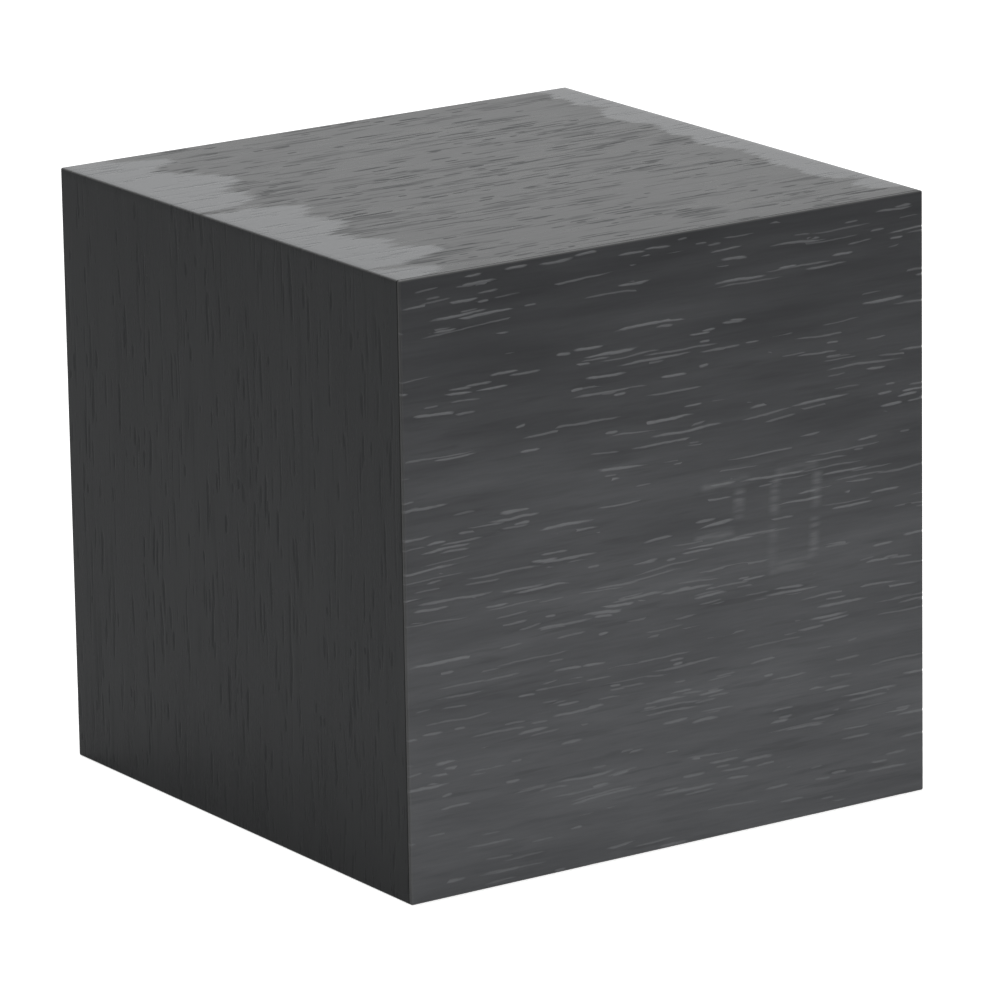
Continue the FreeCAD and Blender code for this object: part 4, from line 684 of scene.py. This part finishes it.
def stained_oak_front():
    # The same oak with painted light: its ground tone is lighter than the sleeve's for the light on this face, and
    # painted shade darkens it towards the head of the sheet. Its pores are paler, partly pale dust in the lacquer and
    # partly a painted highlight, so they show as light dashes. The display's glow is painted as a faint paler ghost of
    # its segments.
    material, tree, place = start_finish("stained_oak_front")
    grain, worn = [add_node(tree, "Attribute", attribute_name=label).outputs[socket]
                   for label, socket in (("grain", "Vector"), ("worn", "Fac"))]
    pores = pore_field(tree, grain, *FRONT_CELL.values())
    fleck, bands, streaks = veneer_figure(tree, grain)
    x, _, z = add_node(tree, "SeparateXYZ", place).outputs
    # Painted light and shade: the ground tone is lighter than the sleeve's for the light on this face, and painted
    # shade darkens it towards the top of the sheet; the bands are the wood's own.
    head = add_node(tree, "MapRange", z, 0.12 * SIDE, 0.97 * SIDE)
    bands_and_painted_shade = add_node(tree, "Math", head, -0.55, add_node(tree, "Math", bands, 0.25), operation="MULTIPLY_ADD")
    ground_tone = add_node(tree, "MixRGB", bands_and_painted_shade, "#2e2f31", "#505153")
    # Painted glow of the display's segments through the veneer, broken up by the grain.
    leaning = add_node(tree, "Math", add_node(tree, "Math", z, -SIDE / 2), -PAINTED_GLOW_LEAN, x, operation="MULTIPLY_ADD")
    painted_glow = 0.0
    for mid_x, mid_z, half_x, half_z, strength in PAINTED_GLOW_BARS:
        within = []
        for line, middle, half, most in ((leaning, mid_x, half_x, strength), (z, mid_z, half_z, 1.0)):
            off = add_node(tree, "Math", line, middle * MM, operation="SUBTRACT")
            off = add_node(tree, "Math", off, operation="ABSOLUTE")
            within.append(add_node(tree, "MapRange", off, (half + PAINTED_GLOW_BLUR) * MM, (half - PAINTED_GLOW_CORE) * MM, 0, most))
        painted_glow = add_node(tree, "Math", *within, painted_glow, operation="MULTIPLY_ADD")
    painted_glow = add_node(tree, "Math", painted_glow, drift(tree, grain, 5 * MM, 0.55 * MM, 35.3, -0.08, 0.26),
                     operation="MULTIPLY", use_clamp=True)
    # Paler pores: partly pale dust in the lacquer, partly a painted highlight where light catches their walls,
    # stronger towards the top.
    dusty_pore_highlight = add_node(tree, "Math", pores, add_node(tree, "MapRange", head, 0, 1, 0.42, 0.74), operation="MULTIPLY")
    # Rounded edges paler: partly stain worn off, partly a painted highlight along the round.
    colour = toned(tree, ground_tone, ((fleck, 0.22, "#27282a"), (streaks, 0.3, "#2a2b2d"), (painted_glow, 1.0, "#8b8d8e"),
                                 (dusty_pore_highlight, 1.0, "#727375"), (worn, 0.3, "#5f5f5e")))
    gloss = add_node(tree, "MapRange", fleck, 0, 1, 0.42, 0.5)
    lacquered(tree, colour, gloss, fleck, pores, 0.04 * MM, Specular_IOR_Level=0.3)
    return material


FRONT_PORES = open_pores(stained_oak_front())
along_front = stations_across("round", -SIDE / 2, "round", SIDE / 2, ALONG_FRONT)
across_front = stations_across("round", -SIDE / 2, "round", SIDE / 2, ACROSS_FRONT)
mesh = veneer_sheet("veneer_front", (X, Z, -Y), MIDDLE - Y * SIDE / 2, along_front, across_front, (0, 1), 2.0)
front = through_nodes("front_veneer", mesh, FRONT_PORES, Pore_depth=0.05 * MM, **FRONT_CELL)
settle(front, "case", "stained_veneer", "veneer_front")

# ---- Back cover ------------------------------
# One black ABS moulding with a spark-eroded surface: it carries the battery tub, the latch pocket and the rear
# board, and drops into the rabbet of the sleeve. Short words are pad-printed beside what they name.


def softened(name, node, material, body, slot, width):
    """A moulding's edges are never knife-sharp: a copy of a CAD node with its edges broken by a width."""
    build = welded(NODES[node].data)
    bmesh.ops.dissolve_limit(build, angle_limit=math.radians(0.5), verts=build.verts, edges=build.edges)
    build.verts.index_update()
    mesh = bpy.data.meshes.new(name)
    mesh.from_pydata([vert.co for vert in build.verts], [],
                     [[vert.index for vert in face.verts] for face in build.faces])
    build.free()
    mesh.shade_smooth()
    mesh.materials.append(material)
    piece = placed(name, mesh)
    bevel = piece.modifiers.new("broken_edges", "BEVEL")
    bevel.width = width
    bevel.segments = 2
    bevel.limit_method = "ANGLE"
    bevel.angle_limit = math.radians(32)
    bevel.harden_normals = True
    piece.data = frozen(piece)
    piece.modifiers.clear()
    piece.data.name = name
    settle(piece, body, slot, node, sharp=None)


BLACK_ABS = moulded_plastic("spark_eroded_black_abs", "#262628", "#353537", 0.5, 0.24 * MM, 0.03 * MM)
softened("moulded_back_cover", "back_cover", BLACK_ABS, "case", "black_abs", 0.22 * MM)
fasten("cover_screw_set", "cover_screws", SCREW_HEAD_RISE, SCREW_SHANK, 9)


def pad_print():
    # White pad-printing ink: a thin, slightly uneven film whose edges are crisp.
    material, tree, place = start_finish("white_pad_print")
    film = add_node(tree, "TexNoise", place, Scale=1 / (0.4 * MM), Detail=3.0)
    colour = add_node(tree, "MixRGB", film, "#b9babb", "#d2d3d3")
    add_node(tree, "OutputMaterial", add_node(tree, "BsdfPrincipled", colour, Roughness=0.55))
    return material


COVER_FACE = 39.0 * MM
INK = 0.03 * MM
CAPITAL_SHARE = 0.7  # how high a capital stands in the font's own size
SEEN_FROM_BEHIND = Matrix(((-1, 0, 0), (0, 0, 1), (0, 1, 0))).to_4x4()
# What is printed, its middle x and z, and how high its capitals are, in millimetres
WORDS = [("SET", 14.0, 62.6, 1.7), ("\u2212", 0.0, 62.6, 2.4), ("+", -14.0, 62.6, 2.4), ("DC 5V", 15.0, 71.3, 1.5),
         ("ON", 7.0, 71.3, 1.5), ("OFF", 2.8, 71.3, 1.5)]
ink = bmesh.new()
for words, x, z, height in WORDS:
    line = bpy.data.curves.new("printed_word", "FONT")
    line.body = words
    line.size = height * MM / CAPITAL_SHARE
    line.extrude = INK / 2
    line.align_x = "CENTER"
    line.align_y = "CENTER"
    holder = placed("printed_word", line)
    word = frozen(holder)
    word.transform(Matrix.Translation((x * MM, COVER_FACE + INK / 2, z * MM)) @ SEEN_FROM_BEHIND)
    ink.from_mesh(word)
    bpy.data.objects.remove(holder)
bmesh.ops.remove_doubles(ink, verts=ink.verts, dist=0.0005 * MM)
mesh = bpy.data.meshes.new("printed_words")
close_up(ink, mesh)
mesh.materials.append(pad_print())
printed = placed("printed_words", mesh)
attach(printed, "case")

# ---- Rear board ------------------------------
# The small board behind the cover's upper part: three push switches under the keys, the slide switch, the power
# socket, the sounder and the temperature sensor. Four screws hold it on the cover's bosses.

fasten("rear_board_screw_set", "rear_board_screws", SCREW_HEAD_RISE, 1.8 * MM, 14)
coat(NYLON, "tact_plunger_set", "tact_plunger_down", "tact_plunger_up")
coat(EPOXY, "tact_switches", "buzzer", "temperature_sensor")
coat(TINNED, "slide_switch_body")
softened("slide_switch_knob", "switch_knob", NYLON, "slide_knob", "holder_nylon", 0.14 * MM)
softened("folded_socket_shell", "usb_shell", TINNED, "case", "tinned_steel", 0.06 * MM)
STRIP_PITCH = 0.65 * MM
STRIP_REACH = 1.65 * MM
SOCKET_X = 15 * MM


def tongue_with_strips():
    # Black nylon tongue with five gilt contact strips side by side in its middle.
    material, tree, place = start_finish("nylon_with_gilt_strips")
    x = add_node(tree, "SeparateXYZ", place).outputs[0]
    off = add_node(tree, "Math", x, SOCKET_X, operation="SUBTRACT")
    wave = add_node(tree, "Math", off, STRIP_PITCH / 2, operation="PINGPONG")
    strip = add_node(tree, "Math", wave, 0.3 * STRIP_PITCH, operation="LESS_THAN")
    inside = add_node(tree, "Math", add_node(tree, "Math", off, operation="ABSOLUTE"), STRIP_REACH,
                      operation="LESS_THAN")
    gilt = add_node(tree, "Math", strip, inside, operation="MULTIPLY")
    grit = add_node(tree, "TexNoise", place, Scale=1 / (0.3 * MM))
    nylon = add_node(tree, "MixRGB", grit, *NYLON_TONES)
    colour = add_node(tree, "MixRGB", gilt, nylon, "#d8b25c")
    gloss = add_node(tree, "MapRange", gilt, 0, 1, 0.42, 0.25)
    add_node(tree, "OutputMaterial", add_node(tree, "BsdfPrincipled", colour, Metallic=gilt, Roughness=gloss))
    return material


coat(tongue_with_strips(), "usb_tongue")

# ---- Keys ------------------------------------
# Three satin ABS caps in a row, put into the cover from inside. A lip behind the cover keeps each in its opening,
# and a stem rests on its switch.

KEY_ABS = moulded_plastic("satin_key_abs", "#2e2e30", "#38383a", 0.38, 0.3 * MM, 0.006 * MM)
for key in ("set", "down", "up"):
    softened(key + "_key_cap", "button_" + key, KEY_ABS, key + "_key", "key_abs", 0.12 * MM)

# ---- Battery door ----------------------------
# A plate of the cover's own ABS with four grip ribs. Two hooks under the opening's lower edge let it swing out, and
# a springy loop moulded on its upper edge holds it shut.

softened("moulded_battery_door", "battery_door", BLACK_ABS, "door", "black_abs", 0.16 * MM)
softened("springy_door_latch", "door_latch", BLACK_ABS, "door", "black_abs", 0.12 * MM)

# ---- Battery, contacts and springs -----------
# Three AAA cells in plain shrunk sleeves with bare steel ends, nickel-plated contact plates pushed into the tub's
# end walls, and wound springs at the minus ends.

coat(NICKEL, "contact_negative", "contact_bridge_left", "contact_bridge_right", "contact_positive", "battery_springs")
CELL_PROFILE = [  # millimetres from the minus end, radius, 1 where the steel is bare
    (0.14, 0.0, 1), (0.14, 3.1, 1), (0.02, 3.4, 1), (0.0, 4.1, 1), (0.1, 4.35, 1), (0.14, 4.36, 0), (0.02, 4.5, 0),
    (0.06, 4.85, 0), (0.25, 5.1, 0), (0.6, 5.25, 0), (42.7, 5.25, 0), (43.05, 5.12, 0), (43.26, 4.85, 0),
    (43.3, 4.5, 0), (43.2, 4.3, 0), (43.12, 4.28, 1), (43.06, 3.9, 1), (43.06, 2.5, 1), (43.2, 2.15, 1),
    (43.45, 1.92, 1), (44.2, 1.88, 1), (44.42, 1.75, 1), (44.5, 1.4, 1), (44.5, 0.0, 1),
]
CELL_SIDES = 64
RING_PLACE = 17.5 * MM
RING_HALF = 1.0 * MM


def sleeved_cell(plus_way):
    # Shrunk film over a nickel-plated steel can: deep green film with a pale ring near the plus end, and bare metal
    # at both ends.
    material, tree, place = start_finish("sleeved_cell")
    bare = add_node(tree, "Attribute", attribute_name="bare").outputs["Fac"]
    steel = add_node(tree, "Math", bare, 0.5, operation="GREATER_THAN")
    x = add_node(tree, "SeparateXYZ", place).outputs[0]
    from_middle = add_node(tree, "Math", x, plus_way, operation="MULTIPLY")
    from_ring = add_node(tree, "Math", add_node(tree, "Math", from_middle, RING_PLACE, operation="SUBTRACT"),
                         operation="ABSOLUTE")
    ring = add_node(tree, "Math", from_ring, RING_HALF, operation="LESS_THAN")
    ripple = add_node(tree, "TexNoise", place, Scale=1 / (2 * MM))
    green = add_node(tree, "MixRGB", ripple, "#12483f", "#17564b")
    film = add_node(tree, "MixRGB", ring, green, "#b9bcb8")
    colour = add_node(tree, "MixRGB", steel, film, "#cdcac2")
    gloss = add_node(tree, "MapRange", ripple, 0, 1, 0.2, 0.3)
    relief = add_node(tree, "Bump", Height=ripple, Distance=0.01 * MM)
    shader = add_node(tree, "BsdfPrincipled", colour, Metallic=steel, Roughness=gloss, Normal=relief)
    add_node(tree, "OutputMaterial", shader)
    return material


for number, plus_way in ((1, 1), (2, -1), (3, 1)):
    low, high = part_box(f"cell_{number}")
    plus_end = high[0] if plus_way > 0 else low[0]
    axis_y, axis_z = (low[1] + high[1]) / 2, (low[2] + high[2]) / 2
    mm_along, mm_out, bare = np.array(CELL_PROFILE).T
    angles = np.arange(CELL_SIDES) * 2 * math.pi / CELL_SIDES
    along = plus_end - plus_way * (mm_along[-1] - mm_along[:, None]) * MM + 0 * angles
    points = np.stack([along, axis_y + mm_out[:, None] * MM * np.cos(angles),
                       axis_z + mm_out[:, None] * MM * np.sin(angles)], -1)
    rings = np.arange(points.size // 3).reshape(len(CELL_PROFILE), CELL_SIDES)
    beside = np.roll(rings, -1, axis=1)
    quads = np.stack([rings[:-1], rings[1:], beside[1:], beside[:-1]], -1).reshape(-1, 4)
    mesh = bpy.data.meshes.new(f"sleeved_cell_{number}")
    mesh.from_pydata(points.reshape(-1, 3), [], quads.tolist())
    mesh.attributes.new("bare", "FLOAT", "POINT").data.foreach_set("value", (bare[:, None] + 0 * angles).ravel())
    close_up(welded(mesh), mesh)
    mesh.materials.append(sleeved_cell(plus_way))
    settle(placed(mesh.name, mesh), "case", "cell_wrap", f"cell_{number}")

# ---- Wiring ----------------------------------
# Two stranded leads from the end contacts to the main board, red from the plus end and black from the minus end,
# and a grey flat cable of six cores between the boards.


def extruded_leads():
    # Extruded PVC insulation: smooth satin, red on the plus lead and black on the minus lead.
    material, tree, place = start_finish("extruded_pvc_leads")
    x = add_node(tree, "SeparateXYZ", place).outputs[0]
    plus = add_node(tree, "Math", x, 0.0, operation="GREATER_THAN")
    rub = add_node(tree, "TexNoise", place, Scale=1 / (1.0 * MM))
    red = add_node(tree, "MixRGB", rub, "#8c1512", "#a31d18")
    black = add_node(tree, "MixRGB", rub, "#1a1a1b", "#252526")
    colour = add_node(tree, "MixRGB", plus, black, red)
    gloss = add_node(tree, "MapRange", rub, 0, 1, 0.35, 0.45)
    add_node(tree, "OutputMaterial", add_node(tree, "BsdfPrincipled", colour, Roughness=gloss))
    return material


CORE_PITCH = 1.27 * MM


def flat_cable():
    # Six PVC cores extruded side by side: grey with a groove between cores, which painted shade darkens while the
    # crowns are painted lighter, and one edge core marked red.
    material, tree, place = start_finish("flat_grey_cable")
    x = add_node(tree, "SeparateXYZ", place).outputs[0]
    ridge = add_node(tree, "Math", x, CORE_PITCH / 2, operation="PINGPONG")
    crown_and_painted_shade = add_node(tree, "MapRange", ridge, 0, CORE_PITCH / 2)
    edge_core = add_node(tree, "Math", x, -2 * CORE_PITCH, operation="LESS_THAN")
    # Painted shade: darker in the grooves between cores, lighter on their crowns.
    grey = add_node(tree, "MixRGB", crown_and_painted_shade, "#8d8e8f", "#b4b5b6")
    colour = add_node(tree, "MixRGB", edge_core, grey, "#8f3a35")
    relief = add_node(tree, "Bump", Height=crown_and_painted_shade, Distance=0.3 * MM)
    add_node(tree, "OutputMaterial", add_node(tree, "BsdfPrincipled", colour, Roughness=0.45, Normal=relief))
    return material


coat(extruded_leads(), "battery_leads")
coat(flat_cable(), "ribbon_cable")

# ---- Studio ----------------------------------
# A white table in a white room: a wide soft lamp overhead, and a low card of light on the table before the front
# face, which lifts its foot.

FLOOR_REACH = 4.0
FLOOR_DROP = 0.02 * MM
GLOW_STARTS, GLOW_FULL = 0.25, 0.8
NEAR_GLOW = 0.72
floor_mesh = bpy.data.meshes.new("floor")
corners = [(x * FLOOR_REACH, y * FLOOR_REACH, -FLOOR_DROP) for x, y in ((-1, -1), (1, -1), (1, 1), (-1, 1))]
floor_mesh.from_pydata(corners, [], [(0, 1, 2, 3)])
floor = placed("floor", floor_mesh)
# White paint that shows the clock's shadow close by, and glows plain white further out.
floor_paint, tree, place = start_finish("white_table")
seen = add_node(tree, "LightPath").outputs["Is Camera Ray"]
far = add_node(tree, "VectorMath", place, operation="LENGTH").outputs["Value"]
glow = add_node(tree, "MapRange", far, GLOW_STARTS, GLOW_FULL, NEAR_GLOW, 1.0)
lit = add_node(tree, "Emission", "#ffffff", add_node(tree, "Math", seen, glow, operation="MULTIPLY"))
matt = add_node(tree, "BsdfDiffuse", "#d8d8d8")
add_node(tree, "OutputMaterial", add_node(tree, "AddShader", lit, matt))
floor_mesh.materials.append(floor_paint)

ROOM_LIGHT = 0.12  # what the room adds to the lamps; rays that see it find it white
world = bpy.data.worlds.new("white_room")
bpy.context.scene.world = world
world.use_nodes = True
tree = world.node_tree
tree.nodes.clear()
path = add_node(tree, "LightPath").outputs
shown = add_node(tree, "Math", path["Is Camera Ray"], path["Is Glossy Ray"], operation="MAXIMUM")
shown = add_node(tree, "Math", shown, path["Is Transmission Ray"], operation="MAXIMUM")
strength = add_node(tree, "MapRange", shown, 0, 1, ROOM_LIGHT, 1.0)
add_node(tree, "OutputWorld", add_node(tree, "Background", "#ffffff", strength))


def soft_lamp(name, place, target, width, height, power, mirrored):
    """Rectangular soft lamp at a place, facing a target. The object's gloss shows it only where it is mirrored."""
    lamp = bpy.data.lights.new(name, "AREA")
    lamp.shape = "RECTANGLE"
    lamp.size = width
    lamp.size_y = height
    lamp.energy = power
    holder = placed(name, lamp)
    holder.location = place
    holder.rotation_euler = (Vector(target) - Vector(place)).to_track_quat("-Z", "Y").to_euler()
    holder.visible_camera = False
    holder.visible_glossy = mirrored


soft_lamp("overhead_lamp", (0.0, 0.1, 0.8), (0, 0, 0.04), 0.7, 0.7, 7.0, True)
soft_lamp("front_card", (0.0, -0.13, 0.008), (0.0, -0.04, 0.008), 0.24, 0.016, 0.105, False)

# ---- Camera ----------------------------------
# The photograph's viewpoint: a long lens from the front left, a little above the clock. Its angles, distance and
# lens were fitted to the cube's corners.

AZIMUTH, ELEVATION, ROLL = (math.radians(angle) for angle in (-33.989, 15.224, -0.95))
DISTANCE = 988.09 * MM
AIM_RIGHT, AIM_UP = 1.051 * MM, -2.789 * MM
LENS, SENSOR = 273.2, 36.0
lens = bpy.data.cameras.new("camera")
lens.lens = LENS
lens.sensor_width = SENSOR
camera = placed("camera", lens)
turn = Matrix.Rotation(AZIMUTH, 4, "Z") @ Matrix.Rotation(math.pi / 2 - ELEVATION, 4, "X")
turn @= Matrix.Rotation(ROLL, 4, "Z")
camera.matrix_world = Matrix.Translation((0, 0, SIDE / 2)) @ turn @ Matrix.Translation((AIM_RIGHT, AIM_UP, DISTANCE))
bpy.context.scene.camera = camera
bpy.context.scene.view_settings.view_transform = "Standard"
